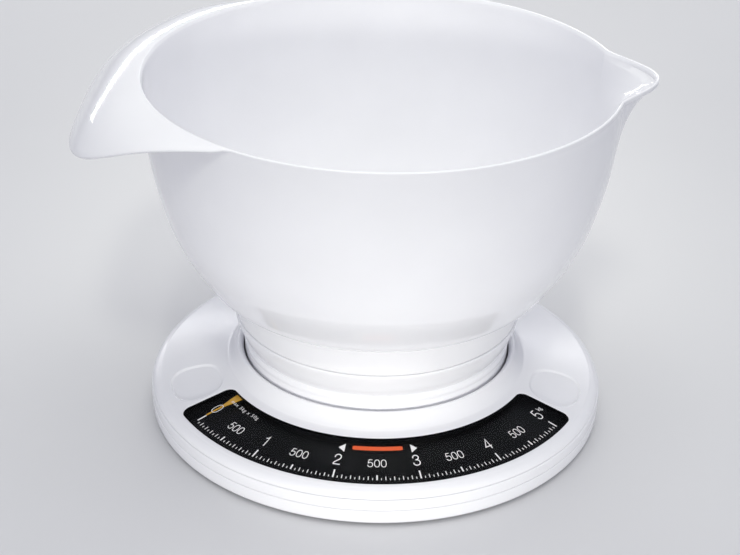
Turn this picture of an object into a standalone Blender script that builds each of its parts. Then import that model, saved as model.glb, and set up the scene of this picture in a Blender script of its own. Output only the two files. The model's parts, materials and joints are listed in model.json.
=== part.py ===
"""Mechanical kitchen scale, 5 kg by 50 g: base with a turning dial ring, platform drum, mixing bowl.

Origin: centre of the base on the surface it stands on. +Z up, the dial window faces -Y,
the bowl's wing handle is on -X and its spout on +X. Lengths below are millimetres.
"""

import math

import bmesh
import bpy

MM = 0.001

# ---- driving dimensions -------------------------------------------------------------------
RING_SEGMENTS = 48
SMALL_SEGMENTS = 24
GAP = 0.3

WINDOW_IN_R = 79.9
WINDOW_OUT_R = 107.7
WINDOW_CORNER_R = 4.5
WINDOW_HALF_DEG = 63.0
FRONT_DEG = -89.0
CONE_IN_Z = 25.8
CONE_OUT_Z = 19.5
COVER_WALL = 1.5
LENS_WALL = 1.1

DIMPLE_OFF_DEG = 73.5
DIMPLE_R = 93.7
DIMPLE_HALF_RADIAL = 12.8
DIMPLE_HALF_DEG = 9.2
DIMPLE_DEPTH = 1.7

STEM_R = 2.5
TUBE_IN_R = 3.9
TUBE_OUT_R = 4.8
TUBE_TOP_Z = 40.5
FRAME_BOTTOM_Z = 3.6
FRAME_TOP_Z = 5.1

POINTER_REST_DEG = -146.9
POINTER_TIP_R = 98.2
SHAFT_Z = 17.5
SHAFT_R = 1.2
BEVEL_MODULE = 1.0
BEVEL_PINION_TEETH = 14
BEVEL_GEAR_TEETH = 16
BEVEL_FACE = 2.2
SPUR_MODULE = 0.8
SPUR_TEETH = 10
SPUR_Y = 30.0
RACK_TEETH = 6

SPRING_MEAN_R = 12.5
SPRING_WIRE_R = 0.85
SPRING_TURNS = 5
SPRING_BOTTOM_Z = 32.3
SPRING_TOP_Z = 49.7

DRUM_TOP_Z = 54.8
FLANGE_BOTTOM_Z = 50.0
FLANGE_TOP_Z = 51.7

BOWL_FOOT_R = 71.0
BOWL_FOOT_Z = 55.3
BOWL_WALL = 2.0
BOWL_RIM_Z = 180.6
BOWL_RIM_R = 114.9
WING_A = 145.0
WING_B = 99.7
WING_N = 3.19
WING_DROP = 22.6
WING_DROP_MID_DEG = 34.0
WING_DROP_SOFT_DEG = 4.4
WING_END_DEG = 58.0
WING_WALL = 2.4
SPOUT_LENGTH = 15.6
SPOUT_HALF_DEG = 16.5
SPOUT_LOW_Z = 150.0

FOOT_R = 86.0
PAN_SCREW_R = 106.4
PAN_SCREWS = 4


# ---- scene and small helpers --------------------------------------------------------------
def clear_scene():
    for obj in list(bpy.data.objects):
        bpy.data.objects.remove(obj, do_unlink=True)


def make_collection(name, helper=False):
    collection = bpy.data.collections.new(name)
    bpy.context.scene.collection.children.link(collection)
    collection.hide_render = helper
    return collection


def material(name, colour, roughness, metallic=0.0):
    mat = bpy.data.materials.new(name)
    mat.use_nodes = True
    shader = mat.node_tree.nodes["Principled BSDF"]
    shader.inputs["Base Color"].default_value = (*colour, 1.0)
    shader.inputs["Roughness"].default_value = roughness
    shader.inputs["Metallic"].default_value = metallic
    return mat


def link_object(name, data, collection, look=None):
    obj = bpy.data.objects.new(name, data)
    collection.objects.link(obj)
    if look is not None:
        colour, roughness, metallic = look
        obj.data.materials.append(material(name + "_look", colour, roughness, metallic))
    return obj


def mesh_from(verts, faces, name, collection, look=None):
    """Mesh object from points in millimetres, with outward faces."""
    mesh = bpy.data.meshes.new(name)
    scaled = [(x * MM, y * MM, z * MM) for x, y, z in verts]
    mesh.from_pydata(scaled, [], faces)
    bm = bmesh.new()
    bm.from_mesh(mesh)
    bmesh.ops.recalc_face_normals(bm, faces=bm.faces)
    bm.to_mesh(mesh)
    bm.free()
    return link_object(name, mesh, collection, look)


def set_origin(obj, x, y, z):
    """Moves the object's origin to a point, leaving its shape where it is."""
    shift = (x * MM, y * MM, z * MM)
    for vertex in obj.data.vertices:
        vertex.co.x -= shift[0]
        vertex.co.y -= shift[1]
        vertex.co.z -= shift[2]
    obj.location = shift


def polar(r, deg, z=0.0):
    angle = math.radians(deg)
    return (r * math.cos(angle), r * math.sin(angle), z)


def turned(name, profile, collection, look=None, segments=RING_SEGMENTS):
    """Closed (r, z) outline turned about the axis. A profile that touches r=0 makes a solid."""
    mesh = bpy.data.meshes.new(name)
    verts = []
    for r, z in profile:
        verts.append((r * MM, 0.0, z * MM))
    count = len(verts)
    on_axis = [r < 1e-6 for r, _ in profile]
    edges = []
    for i in range(count):
        j = (i + 1) % count
        if on_axis[i] and on_axis[j]:
            continue
        edges.append((i, j))
    mesh.from_pydata(verts, edges, [])
    obj = link_object(name, mesh, collection, look)
    screw = obj.modifiers.new("Turn", "SCREW")
    screw.axis = "Z"
    screw.steps = segments
    screw.render_steps = segments
    screw.use_merge_vertices = True
    screw.merge_threshold = 0.00001
    screw.use_normal_calculate = True
    return bake(obj)


def bake(obj):
    """Applies the modifiers and turns the faces outward."""
    graph = bpy.context.evaluated_depsgraph_get()
    evaluated = obj.evaluated_get(graph)
    mesh = bpy.data.meshes.new_from_object(evaluated)
    old_materials = [slot.material for slot in obj.material_slots]
    new = bpy.data.objects.new(obj.name + "_tmp", mesh)
    mesh.transform(obj.matrix_world)
    bm = bmesh.new()
    bm.from_mesh(mesh)
    bmesh.ops.remove_doubles(bm, verts=bm.verts, dist=1e-6)
    bmesh.ops.recalc_face_normals(bm, faces=bm.faces)
    bm.to_mesh(mesh)
    bm.free()
    mesh.materials.clear()
    for mat in old_materials:
        mesh.materials.append(mat)
    collection = obj.users_collection[0]
    name = obj.name
    bpy.data.objects.remove(obj, do_unlink=True)
    new.name = name
    collection.objects.link(new)
    return new


def prism(name, outline, low, high, collection, look=None):
    """Upright prism over a closed (x, y) outline."""
    curve = bpy.data.curves.new(name, "CURVE")
    curve.dimensions = "2D"
    curve.fill_mode = "BOTH"
    curve.extrude = (high - low) / 2.0 * MM
    spline = curve.splines.new("POLY")
    spline.points.add(len(outline) - 1)
    for point, (x, y) in zip(spline.points, outline):
        point.co = (x * MM, y * MM, 0.0, 1.0)
    spline.use_cyclic_u = True
    obj = link_object(name, curve, collection, look)
    obj.location.z = (low + high) / 2.0 * MM
    bpy.context.view_layer.update()
    return bake(obj)


def solid_from(bm, name, collection, look):
    bmesh.ops.recalc_face_normals(bm, faces=bm.faces)
    mesh = bpy.data.meshes.new(name)
    bm.to_mesh(mesh)
    bm.free()
    return link_object(name, mesh, collection, look)


def box(name, low, high, collection, look=None):
    bm = bmesh.new()
    bmesh.ops.create_cube(bm, size=1.0)
    for vertex in bm.verts:
        for axis in range(3):
            middle = (low[axis] + high[axis]) / 2.0
            vertex.co[axis] = (vertex.co[axis] * (high[axis] - low[axis]) + middle) * MM
    return solid_from(bm, name, collection, look)


def cylinder(name, radius, low, high, collection, look=None, x=0.0, y=0.0, sides=SMALL_SEGMENTS):
    bm = bmesh.new()
    bmesh.ops.create_cone(
        bm, cap_ends=True, segments=sides, radius1=radius * MM, radius2=radius * MM,
        depth=(high - low) * MM
    )
    shift = (x * MM, y * MM, (low + high) / 2.0 * MM)
    bmesh.ops.translate(bm, verts=bm.verts, vec=shift)
    return solid_from(bm, name, collection, look)


def lay_along_y(obj, x, y, z):
    """Turns a solid made along +Z so that it points along +Y from (x, y, z)."""
    for vertex in obj.data.vertices:
        vx, vy, vz = vertex.co
        vertex.co.x = vx + x * MM
        vertex.co.y = vz + y * MM
        vertex.co.z = -vy + z * MM
    return obj


def boolean(obj, tool, operation):
    modifier = obj.modifiers.new("Cut", "BOOLEAN")
    modifier.operation = operation
    modifier.solver = "EXACT"
    modifier.object = tool
    result = bake(obj)
    bpy.data.objects.remove(tool, do_unlink=True)
    return result


def cone_z(r):
    """Height of the dial face at radius r."""
    slope = (CONE_OUT_Z - CONE_IN_Z) / (WINDOW_OUT_R - WINDOW_IN_R)
    return CONE_IN_Z + slope * (r - WINDOW_IN_R)


def sector_outline(grow=0.0):
    """Rounded annular sector of the dial window, grown outward by grow."""
    inner = WINDOW_IN_R - grow
    outer = WINDOW_OUT_R + grow
    corner = WINDOW_CORNER_R + grow
    half = math.radians(WINDOW_HALF_DEG)
    front = math.radians(FRONT_DEG)
    points = []

    def corner_points(ring_r, sign_r, side):
        centre_r = ring_r - sign_r * corner
        inset = math.asin((corner - grow) / centre_r)
        centre_a = half - inset
        cx = centre_r * math.cos(centre_a)
        cy = centre_r * math.sin(centre_a)
        radial = centre_a
        end = centre_a + math.pi / 2.0
        out = []
        for i in range(5):
            t = i / 4.0
            if sign_r > 0:
                angle = radial + t * (end - radial)
            else:
                angle = end + t * (radial + math.pi - end)
            out.append((cx + corner * math.cos(angle), side * (cy + corner * math.sin(angle))))
        return out

    arc_in = half - math.asin((corner - grow) / (inner + corner))
    arc_out = half - math.asin((corner - grow) / (outer - corner))
    steps = 20
    for i in range(1, steps):
        angle = -arc_out + 2.0 * arc_out * i / steps
        points.append((outer * math.cos(angle), outer * math.sin(angle)))
    points += corner_points(outer, 1.0, 1.0)
    points += corner_points(inner, -1.0, 1.0)
    for i in range(1, steps):
        angle = arc_in - 2.0 * arc_in * i / steps
        points.append((inner * math.cos(angle), inner * math.sin(angle)))
    points += list(reversed(corner_points(inner, -1.0, -1.0)))
    points += list(reversed(corner_points(outer, 1.0, -1.0)))
    turned_points = []
    for x, y in points:
        turned_points.append((
            x * math.cos(front) - y * math.sin(front),
            x * math.sin(front) + y * math.cos(front),
        ))
    return turned_points


def grid_solid(name, columns, rows_at, collection, look):
    """Closed solid of revolution-like form: rows_at(deg) gives the section's closed outline."""
    verts = []
    faces = []
    sections = [rows_at(deg) for deg in columns]
    rows = len(sections[0])
    closed_axis_low = sections[0][0][0] < 1e-6
    for deg, section in zip(columns, sections):
        for r, z in section:
            verts.append(polar(max(r, 0.0), deg, z))
    count = len(columns)
    for c in range(count):
        d = (c + 1) % count
        for i in range(rows):
            j = (i + 1) % rows
            if closed_axis_low and j == 0:
                continue
            faces.append((c * rows + i, d * rows + i, d * rows + j, c * rows + j))
    mesh = bpy.data.meshes.new(name)
    mesh.from_pydata([(x * MM, y * MM, z * MM) for x, y, z in verts], [], faces)
    bm = bmesh.new()
    bm.from_mesh(mesh)
    bmesh.ops.remove_doubles(bm, verts=bm.verts, dist=1e-6)
    bmesh.ops.dissolve_degenerate(bm, dist=1e-7, edges=bm.edges)
    bmesh.ops.recalc_face_normals(bm, faces=bm.faces)
    bm.to_mesh(mesh)
    bm.free()
    return link_object(name, mesh, collection, look)


# ---- finishes -----------------------------------------------------------------------------
WHITE = ((0.86, 0.86, 0.88), 0.3, 0.0)
BOWL_WHITE = ((0.88, 0.88, 0.9), 0.25, 0.0)
BLACK = ((0.01, 0.01, 0.012), 0.4, 0.0)
CLEAR = ((0.8, 0.85, 0.86), 0.05, 0.0)
GOLD = ((0.72, 0.46, 0.08), 0.35, 0.2)
RUBBER = ((0.2, 0.2, 0.2), 0.8, 0.0)
STEEL = ((0.55, 0.55, 0.56), 0.35, 1.0)
BRASS = ((0.7, 0.52, 0.22), 0.3, 1.0)
GREY = ((0.45, 0.45, 0.47), 0.45, 0.0)


# ---- base ---------------------------------------------------------------------------------
def around(count, radius, first_deg=0.0):
    return [polar(radius, first_deg + 360.0 * i / count)[:2] for i in range(count)]


def foot_places():
    return around(4, FOOT_R, 45.0)


def make_bottom_pan(part, cutters):
    profile = [
        (0.0, 1.5), (113.2, 1.5), (114.2, 1.9), (114.7, 3.0), (115.0, 6.0), (115.0, 8.4),
        (114.6, 9.0), (113.0, 9.0), (113.0, 5.4), (112.2, 3.9), (110.4, 3.3), (0.0, 3.3),
    ]
    pan = turned("bottom_pan", profile, part, WHITE)
    for x, y in around(PAN_SCREWS, PAN_SCREW_R):
        pad = cylinder("pad", 4.4, 3.0, 5.0, cutters, x=x, y=y, sides=16)
        pan = boolean(pan, pad, "UNION")
    for x, y in around(PAN_SCREWS, PAN_SCREW_R):
        recess = cylinder("recess", 3.0, 0.5, 3.4, cutters, x=x, y=y, sides=16)
        pan = boolean(pan, recess, "DIFFERENCE")
        hole = cylinder("hole", 1.5, 3.0, 6.0, cutters, x=x, y=y, sides=12)
        pan = boolean(pan, hole, "DIFFERENCE")
    for x, y in foot_places():
        pocket = cylinder("pocket", 8.3, 0.5, 2.3, cutters, x=x, y=y, sides=20)
        pan = boolean(pan, pocket, "DIFFERENCE")
        hole = cylinder("hole", 2.3, 0.5, 4.5, cutters, x=x, y=y, sides=12)
        pan = boolean(pan, hole, "DIFFERENCE")
    return pan


def make_base_ring(part, cutters):
    profile = [
        (115.0, 9.6), (115.0, 12.6), (114.9, 14.2), (114.5, 14.9), (113.0, 14.9),
        (113.0, 13.8), (111.2, 13.8), (111.2, 12.3), (113.0, 12.3), (113.0, 10.5),
        (102.2, 10.5), (102.2, 9.3), (114.7, 9.3),
    ]
    ring = turned("base_ring", profile, part, WHITE)
    for x, y in around(PAN_SCREWS, PAN_SCREW_R):
        boss = cylinder("boss", 3.0, 5.3, 10.0, cutters, x=x, y=y, sides=12)
        ring = boolean(ring, boss, "UNION")
    for x, y in around(PAN_SCREWS, PAN_SCREW_R):
        bore = cylinder("bore", 1.5, 4.5, 12.0, cutters, x=x, y=y, sides=12)
        ring = boolean(ring, bore, "DIFFERENCE")
    return ring


def make_feet(part, cutters):
    for i, (x, y) in enumerate(foot_places()):
        foot = cylinder("foot_%d" % (i + 1), 8.0, 0.0, 2.0, part, RUBBER, x=x, y=y, sides=20)
        stud = cylinder("stud", 2.0, 1.6, 4.6, cutters, x=x, y=y, sides=12)
        foot = boolean(foot, stud, "UNION")
        bead = cylinder("bead", 3.0, 3.7, 5.0, cutters, x=x, y=y, sides=12)
        boolean(foot, bead, "UNION")


def make_screw(name, place, head, shank, part, cutters):
    """Pan-head screw. head and shank are (radius, low, high), overlapping a little."""
    x, y = place
    top = cylinder(name, head[0], head[1], head[2], part, STEEL, x=x, y=y, sides=12)
    stem = cylinder("shank", shank[0], shank[1], shank[2], cutters, x=x, y=y, sides=8)
    return boolean(top, stem, "UNION")


def make_pan_screws(part, cutters):
    for i, place in enumerate(around(PAN_SCREWS, PAN_SCREW_R)):
        name = "pan_screw_%d" % (i + 1)
        make_screw(name, place, (2.6, 1.7, 3.1), (1.1, 2.8, 9.8), part, cutters)


def frame_screw_places():
    return around(3, 40.0, 30.0)


def make_frame_plate(part, cutters):
    plate = cylinder("frame_plate", 46.0, FRAME_BOTTOM_Z, FRAME_TOP_Z, part, STEEL, sides=40)
    for x, y in frame_screw_places():
        hole = cylinder("hole", 1.6, 2.0, 7.0, cutters, x=x, y=y, sides=12)
        plate = boolean(plate, hole, "DIFFERENCE")
    return plate


def make_frame_screws(part, cutters):
    for i, place in enumerate(frame_screw_places()):
        name = "frame_screw_%d" % (i + 1)
        make_screw(name, place, (2.8, 5.4, 6.8), (1.2, 3.7, 5.7), part, cutters)


def make_guide_tube(part):
    profile = [
        (TUBE_IN_R, TUBE_TOP_Z), (TUBE_IN_R, 5.4), (12.0, 5.4), (12.0, 6.9),
        (TUBE_OUT_R, 6.9), (TUBE_OUT_R, TUBE_TOP_Z),
    ]
    return turned("guide_tube", profile, part, STEEL, SMALL_SEGMENTS)


def make_guide_bushes(part):
    for name, low, high in (("guide_bush_lower", 14.0, 19.0), ("guide_bush_upper", 34.0, 40.2)):
        inner = STEM_R + GAP
        outer = TUBE_IN_R - GAP
        profile = [(inner, low), (outer, low), (outer, high), (inner, high)]
        turned(name, profile, part, BRASS, SMALL_SEGMENTS)


def make_calibration_nut(part):
    inner = TUBE_OUT_R + GAP
    profile = [
        (inner, 30.0), (9.0, 30.0), (9.0, 30.3), (14.6, 30.3), (14.6, 32.0), (inner, 32.0),
    ]
    return turned("calibration_nut", profile, part, GREY, SMALL_SEGMENTS)


def make_hub_circlip(part):
    inner = TUBE_OUT_R + GAP
    profile = [(inner, 28.8), (7.4, 28.8), (7.4, 29.6), (inner, 29.6)]
    return turned("hub_circlip", profile, part, STEEL, SMALL_SEGMENTS)


def bracket_screw_places():
    return [(0.0, 20.5), (0.0, 37.0)]


def make_bearing_bracket(part, cutters):
    bracket = box("bearing_bracket", (-6.5, 15.0, 5.4), (6.5, 42.0, 6.6), part, STEEL)
    for y in (15.0, 40.8):
        tab = box("tab", (-5.0, y, 6.0), (5.0, y + 1.2, 22.0), cutters)
        bracket = boolean(bracket, tab, "UNION")
        hole = lay_along_y(
            cylinder("hole", 2.8, -2.0, 4.0, cutters, sides=16), 0.0, y - 0.5, SHAFT_Z
        )
        bracket = boolean(bracket, hole, "DIFFERENCE")
    notch = box("notch", (-7.5, SPUR_Y - 2.4, 4.5), (-3.0, SPUR_Y + 2.4, 7.5), cutters)
    bracket = boolean(bracket, notch, "DIFFERENCE")
    for x, y in bracket_screw_places():
        hole = cylinder("hole", 1.5, 4.5, 8.0, cutters, x=x, y=y, sides=12)
        bracket = boolean(bracket, hole, "DIFFERENCE")
    return bracket


def make_bearing_bushes(part):
    for name, y in (("bearing_bush_front", 15.0), ("bearing_bush_rear", 40.8)):
        profile = [
            (SHAFT_R + GAP, -0.9), (3.6, -0.9), (3.6, -0.3), (2.5, -0.3), (2.5, 1.4),
            (SHAFT_R + GAP, 1.4),
        ]
        bush = turned(name, profile, part, BRASS, 16)
        lay_along_y(bush, 0.0, y, SHAFT_Z)


def make_bracket_screws(part, cutters):
    for i, place in enumerate(bracket_screw_places()):
        name = "bracket_screw_%d" % (i + 1)
        make_screw(name, place, (2.4, 6.9, 8.2), (1.1, 5.4, 7.2), part, cutters)


def dimple_depth(r, deg):
    depth = 0.0
    for side in (-1.0, 1.0):
        off = (deg - (FRONT_DEG + side * DIMPLE_OFF_DEG) + 180.0) % 360.0 - 180.0
        u = off / DIMPLE_HALF_DEG
        v = (r - DIMPLE_R) / DIMPLE_HALF_RADIAL
        q = u * u + v * v
        if q < 1.0:
            depth = max(depth, DIMPLE_DEPTH * (1.0 - q) ** 0.6)
    return depth


def cover_columns():
    columns = []
    deg = 0.0
    while deg < 360.0 - 1e-6:
        columns.append(deg)
        near = False
        for side in (-1.0, 1.0):
            centre = (FRONT_DEG + side * DIMPLE_OFF_DEG) % 360.0
            off = (deg + 1.0 - centre + 180.0) % 360.0 - 180.0
            if abs(off) < DIMPLE_HALF_DEG + 1.0:
                near = True
        deg += 2.5 if near else 7.5
    return columns


def cover_section(deg):
    """Closed outline of the dial cover at one angle."""
    outer = [(69.6, 34.4), (70.4, 34.2), (70.9, 33.6), (71.9, 31.3), (73.3, 29.1), (75.6, 27.3)]
    cone = [79.0, 84.0, 88.5, 93.5, 98.5, 103.5, 108.0]
    for r in cone:
        outer.append((r, cone_z(r) - dimple_depth(r, deg)))
    outer += [(110.2, 18.8), (112.2, 17.9), (113.8, 16.5), (114.3, 15.2)]
    inner = [(110.3, 15.2), (110.3, 12.4), (109.0, 12.4), (109.0, 17.2)]
    for r in reversed(cone[:-1]):
        inner.append((r, cone_z(r) - COVER_WALL - dimple_depth(r, deg)))
    inner += [(75.2, 25.6), (72.8, 27.5), (71.0, 29.8), (70.2, 31.0), (69.1, 31.0), (69.1, 24.4)]
    inner += [(67.6, 24.4), (67.6, 31.4), (68.7, 33.6)]
    return outer + inner


def make_dial_cover(part, cutters):
    cover = grid_solid("dial_cover", cover_columns(), cover_section, part, WHITE)
    window = prism("window", sector_outline(GAP), 5.0, 40.0, cutters)
    return boolean(cover, window, "DIFFERENCE")


def make_dial_lens(part, cutters):
    low = 74.0
    high = 112.0
    profile = [
        (low, cone_z(low) - 0.05), (high, cone_z(high) - 0.05),
        (high, cone_z(high) - LENS_WALL - 0.05), (low, cone_z(low) - LENS_WALL - 0.05),
    ]
    lens = turned("dial_lens", profile, part, CLEAR, 96)
    keep = prism("keep", sector_outline(0.0), 5.0, 40.0, cutters)
    return boolean(lens, keep, "INTERSECT")


def plate_screw_places():
    return [polar(76.6, deg)[:2] for deg in (30.0, 90.0, 150.0)]


def make_dial_plate(part, cutters):
    top = [(71.4, 19.6), (79.9, 21.2), (108.2, cone_z(108.2) - 4.6)]
    profile = top + [(r, z - 0.9) for r, z in reversed(top)]
    plate = turned("dial_plate", profile, part, BLACK)
    for x, y in plate_screw_places():
        hole = cylinder("hole", 1.4, 15.0, 23.0, cutters, x=x, y=y, sides=12)
        plate = boolean(plate, hole, "DIFFERENCE")
    return plate


def make_plate_screws(part, cutters):
    for i, place in enumerate(plate_screw_places()):
        name = "dial_plate_screw_%d" % (i + 1)
        make_screw(name, place, (2.2, 17.9, 18.9), (1.0, 18.6, 24.2), part, cutters)


def make_cover_retainer(part):
    profile = [(108.4, 10.8), (112.5, 10.8), (112.5, 12.0), (108.4, 12.0)]
    return turned("cover_retainer", profile, part, GREY)


# ---- platform -----------------------------------------------------------------------------
def make_platform_drum(part, cutters):
    profile = [
        (0.0, DRUM_TOP_Z), (64.0, DRUM_TOP_Z), (65.6, DRUM_TOP_Z), (66.4, 58.4),
        (67.8, 58.4), (68.4, DRUM_TOP_Z), (70.9, DRUM_TOP_Z), (71.4, 54.3), (71.3, 53.0),
        (70.2, 49.0), (68.0, 44.0), (65.8, 40.6), (66.8, 39.4), (67.2, 38.2), (67.1, 37.0),
        (67.0, 36.6), (67.0, 31.0), (65.4, 31.0), (65.4, 37.2), (64.1, 39.4), (64.1, 40.4),
        (66.2, 45.0), (68.4, 50.0), (68.9, 52.2),
        (0.0, 52.2),
    ]
    drum = turned("platform_drum", profile, part, WHITE)
    recess = cylinder("recess", 4.0, 54.0, 57.0, cutters, sides=SMALL_SEGMENTS)
    drum = boolean(drum, recess, "DIFFERENCE")
    hole = cylinder("hole", 1.8, 50.0, 57.0, cutters, sides=12)
    return boolean(drum, hole, "DIFFERENCE")


def make_stem(part, cutters):
    profile = [
        (0.0, FLANGE_TOP_Z), (15.0, FLANGE_TOP_Z), (15.0, FLANGE_BOTTOM_Z),
        (STEM_R, FLANGE_BOTTOM_Z), (STEM_R, 15.6), (1.9, 15.0), (0.0, 15.0),
    ]
    stem = turned("stem", profile, part, STEEL, SMALL_SEGMENTS)
    bore = cylinder("bore", 1.6, 45.0, 54.0, cutters, sides=12)
    return boolean(stem, bore, "DIFFERENCE")


def make_stem_screw(part, cutters):
    make_screw("stem_screw", (0.0, 0.0), (3.6, 54.3, 55.6), (1.25, 46.0, 54.6), part, cutters)


def rack_outline():
    """Flat (x, z) outline of the rack, teeth towards +X, at rest."""
    pitch_x = -SPUR_MODULE * SPUR_TEETH / 2.0
    tip = pitch_x + 0.62
    root = pitch_x - 0.95
    back = pitch_x - 4.2
    step = math.pi * SPUR_MODULE
    points = [(back, 14.4), (root, 14.4)]
    start = SHAFT_Z
    for i in range(-1, RACK_TEETH - 1):
        centre = start + i * step
        points.append((root, centre - 0.36 * step))
        points.append((tip, centre - 0.13 * step))
        points.append((tip, centre + 0.13 * step))
        points.append((root, centre + 0.36 * step))
    points.append((root, 44.0))
    points.append((back, 44.0))
    return points


def make_rack(part, cutters):
    outline = [(x, -z) for x, z in rack_outline()]
    rack = prism("rack", outline, SPUR_Y - 1.6, SPUR_Y + 1.6, part, BRASS)
    lay_along_y(rack, 0.0, 0.0, 0.0)
    arm = box("arm", (-8.2, SPUR_Y - 4.0, 43.0), (-5.2, SPUR_Y + 4.0, 50.6), cutters)
    rack = boolean(rack, arm, "UNION")
    foot = box("foot", (-17.0, SPUR_Y - 4.0, 50.4), (-5.2, SPUR_Y + 4.0, 51.9), cutters)
    rack = boolean(rack, foot, "UNION")
    for x, y in rack_screw_places():
        hole = cylinder("hole", 1.4, 48.0, 54.0, cutters, x=x, y=y, sides=12)
        rack = boolean(rack, hole, "DIFFERENCE")
    return rack


def rack_screw_places():
    return [(-10.4, SPUR_Y), (-14.6, SPUR_Y)]


def make_rack_screws(part, cutters):
    for i, place in enumerate(rack_screw_places()):
        name = "rack_screw_%d" % (i + 1)
        make_screw(name, place, (1.8, 48.9, 50.1), (1.0, 49.8, 51.9), part, cutters)


def make_main_spring(part):
    steps = 14 * SPRING_TURNS
    low = SPRING_BOTTOM_Z + SPRING_WIRE_R
    high = SPRING_TOP_Z - SPRING_WIRE_R
    curve = bpy.data.curves.new("main_spring", "CURVE")
    curve.dimensions = "3D"
    curve.bevel_depth = SPRING_WIRE_R * MM
    curve.bevel_resolution = 2
    curve.use_fill_caps = True
    spline = curve.splines.new("POLY")
    spline.points.add(steps)
    for i in range(steps + 1):
        t = i / steps
        eased = min(max((t - 0.1) / 0.8, 0.0), 1.0)
        height = low + (high - low - 2.0 * 1.9) * eased
        height += 1.9 * min(t / 0.1, 1.0) + 1.9 * max((t - 0.9) / 0.1, 0.0)
        x, y, z = polar(SPRING_MEAN_R, 360.0 * SPRING_TURNS * t, height)
        spline.points[i].co = (x * MM, y * MM, z * MM, 1.0)
    return link_object("main_spring", curve, part, STEEL)


# ---- pointer drive ------------------------------------------------------------------------
def gear_outline(teeth, module, phase_deg, tip_add, root_cut, tooth_share):
    """(x, y) outline of a straight-sided gear; phase_deg points at a tooth."""
    pitch_r = module * teeth / 2.0
    tip = pitch_r + tip_add * module
    root = pitch_r - root_cut * module
    step = 360.0 / teeth
    points = []
    for i in range(teeth):
        centre = phase_deg + i * step
        for r, off in ((root, -0.36), (tip, -tooth_share), (tip, tooth_share), (root, 0.36)):
            points.append(polar(r, centre + off * step)[:2])
    return points


def make_transfer_shaft(part):
    low = 6.9
    profile = [(0.0, low), (SHAFT_R, low), (SHAFT_R, 44.6), (0.0, 44.6)]
    shaft = turned("transfer_shaft", profile, part, STEEL, 12)
    lay_along_y(shaft, 0.0, 0.0, SHAFT_Z)
    set_origin(shaft, 0.0, 0.0, SHAFT_Z)
    return shaft


def shaft_wheel(name, outline_low, outline_high, low, high, bore_r, part, look):
    """Wheel on the shaft: loft between two outlines, bored along its middle."""
    count = len(outline_low)
    bore = [polar(bore_r, 360.0 * (i + 0.5) / count)[:2] for i in range(count)]
    verts = [(x, y, low) for x, y in outline_low] + [(x, y, high) for x, y in outline_high]
    verts += [(x, y, low) for x, y in bore] + [(x, y, high) for x, y in bore]
    faces = []
    for i in range(count):
        j = (i + 1) % count
        faces.append((i, j, count + j, count + i))
        faces.append((2 * count + i, 2 * count + j, 3 * count + j, 3 * count + i))
        faces.append((i, j, 2 * count + j, 2 * count + i))
        faces.append((count + i, count + j, 3 * count + j, 3 * count + i))
    wheel = mesh_from(verts, faces, name, part, look)
    lay_along_y(wheel, 0.0, 0.0, SHAFT_Z)
    set_origin(wheel, 0.0, 0.0, SHAFT_Z)
    return wheel


def make_spur_pinion(part):
    step = 360.0 / SPUR_TEETH
    outline = gear_outline(SPUR_TEETH, SPUR_MODULE, step / 2.0, 0.75, 1.1, 0.13)
    low = SPUR_Y - 2.5
    high = SPUR_Y + 2.5
    return shaft_wheel("spur_pinion", outline, outline, low, high, SHAFT_R + GAP, part, BRASS)


def make_bevel_pinion(part):
    gear_r = BEVEL_MODULE * BEVEL_GEAR_TEETH / 2.0
    pinion_r = BEVEL_MODULE * BEVEL_PINION_TEETH / 2.0
    cone = math.hypot(gear_r, pinion_r)
    shrink = 1.0 - BEVEL_FACE / cone
    outline = gear_outline(BEVEL_PINION_TEETH, BEVEL_MODULE, -90.0, 0.7, 1.1, 0.13)
    small = [(x * shrink, y * shrink) for x, y in outline]
    return shaft_wheel(
        "bevel_pinion", small, outline, gear_r * shrink, gear_r, SHAFT_R + GAP, part, BRASS
    )


def make_pointer_hub(part, cutters):
    gear_r = BEVEL_MODULE * BEVEL_GEAR_TEETH / 2.0
    pinion_r = BEVEL_MODULE * BEVEL_PINION_TEETH / 2.0
    cone = math.hypot(gear_r, pinion_r)
    shrink = 1.0 - BEVEL_FACE / cone
    step = 360.0 / BEVEL_GEAR_TEETH
    tilt_add = 0.7 * BEVEL_MODULE
    tilt_cut = 1.1 * BEVEL_MODULE
    high = SHAFT_Z + pinion_r
    verts = []
    faces = []
    rings = []
    for scale in (1.0, shrink):
        ring = []
        for i in range(BEVEL_GEAR_TEETH):
            centre = 90.0 + step / 2.0 + i * step
            marks = ((tilt_cut, -0.36), (-tilt_add, -0.13), (-tilt_add, 0.13), (tilt_cut, 0.36))
            for rise, off in marks:
                ring.append(len(verts))
                z = SHAFT_Z + scale * (pinion_r + rise)
                verts.append(polar(gear_r * scale, centre + off * step, z))
        rings.append(ring)
    for r in (gear_r, gear_r * shrink):
        ring = []
        for i in range(BEVEL_GEAR_TEETH):
            centre = 90.0 + step / 2.0 + i * step
            for off in (-0.36, -0.13, 0.13, 0.36):
                ring.append(len(verts))
                verts.append(polar(r, centre + off * step, high + 1.8))
        rings.append(ring)
    count = len(rings[0])
    order = (0, 1, 3, 2)
    for a in range(4):
        first = rings[order[a]]
        second = rings[order[(a + 1) % 4]]
        for i in range(count):
            j = (i + 1) % count
            faces.append((first[i], first[j], second[j], second[i]))
    hub = mesh_from(verts, faces, "pointer_hub", part, BRASS)
    inner = TUBE_OUT_R + GAP
    profile = [(inner, 24.8), (6.8, 24.8), (6.8, 28.5), (inner, 28.5)]
    sleeve = turned("sleeve", profile, cutters, None, SMALL_SEGMENTS)
    hub = boolean(hub, sleeve, "UNION")
    return hub


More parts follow.
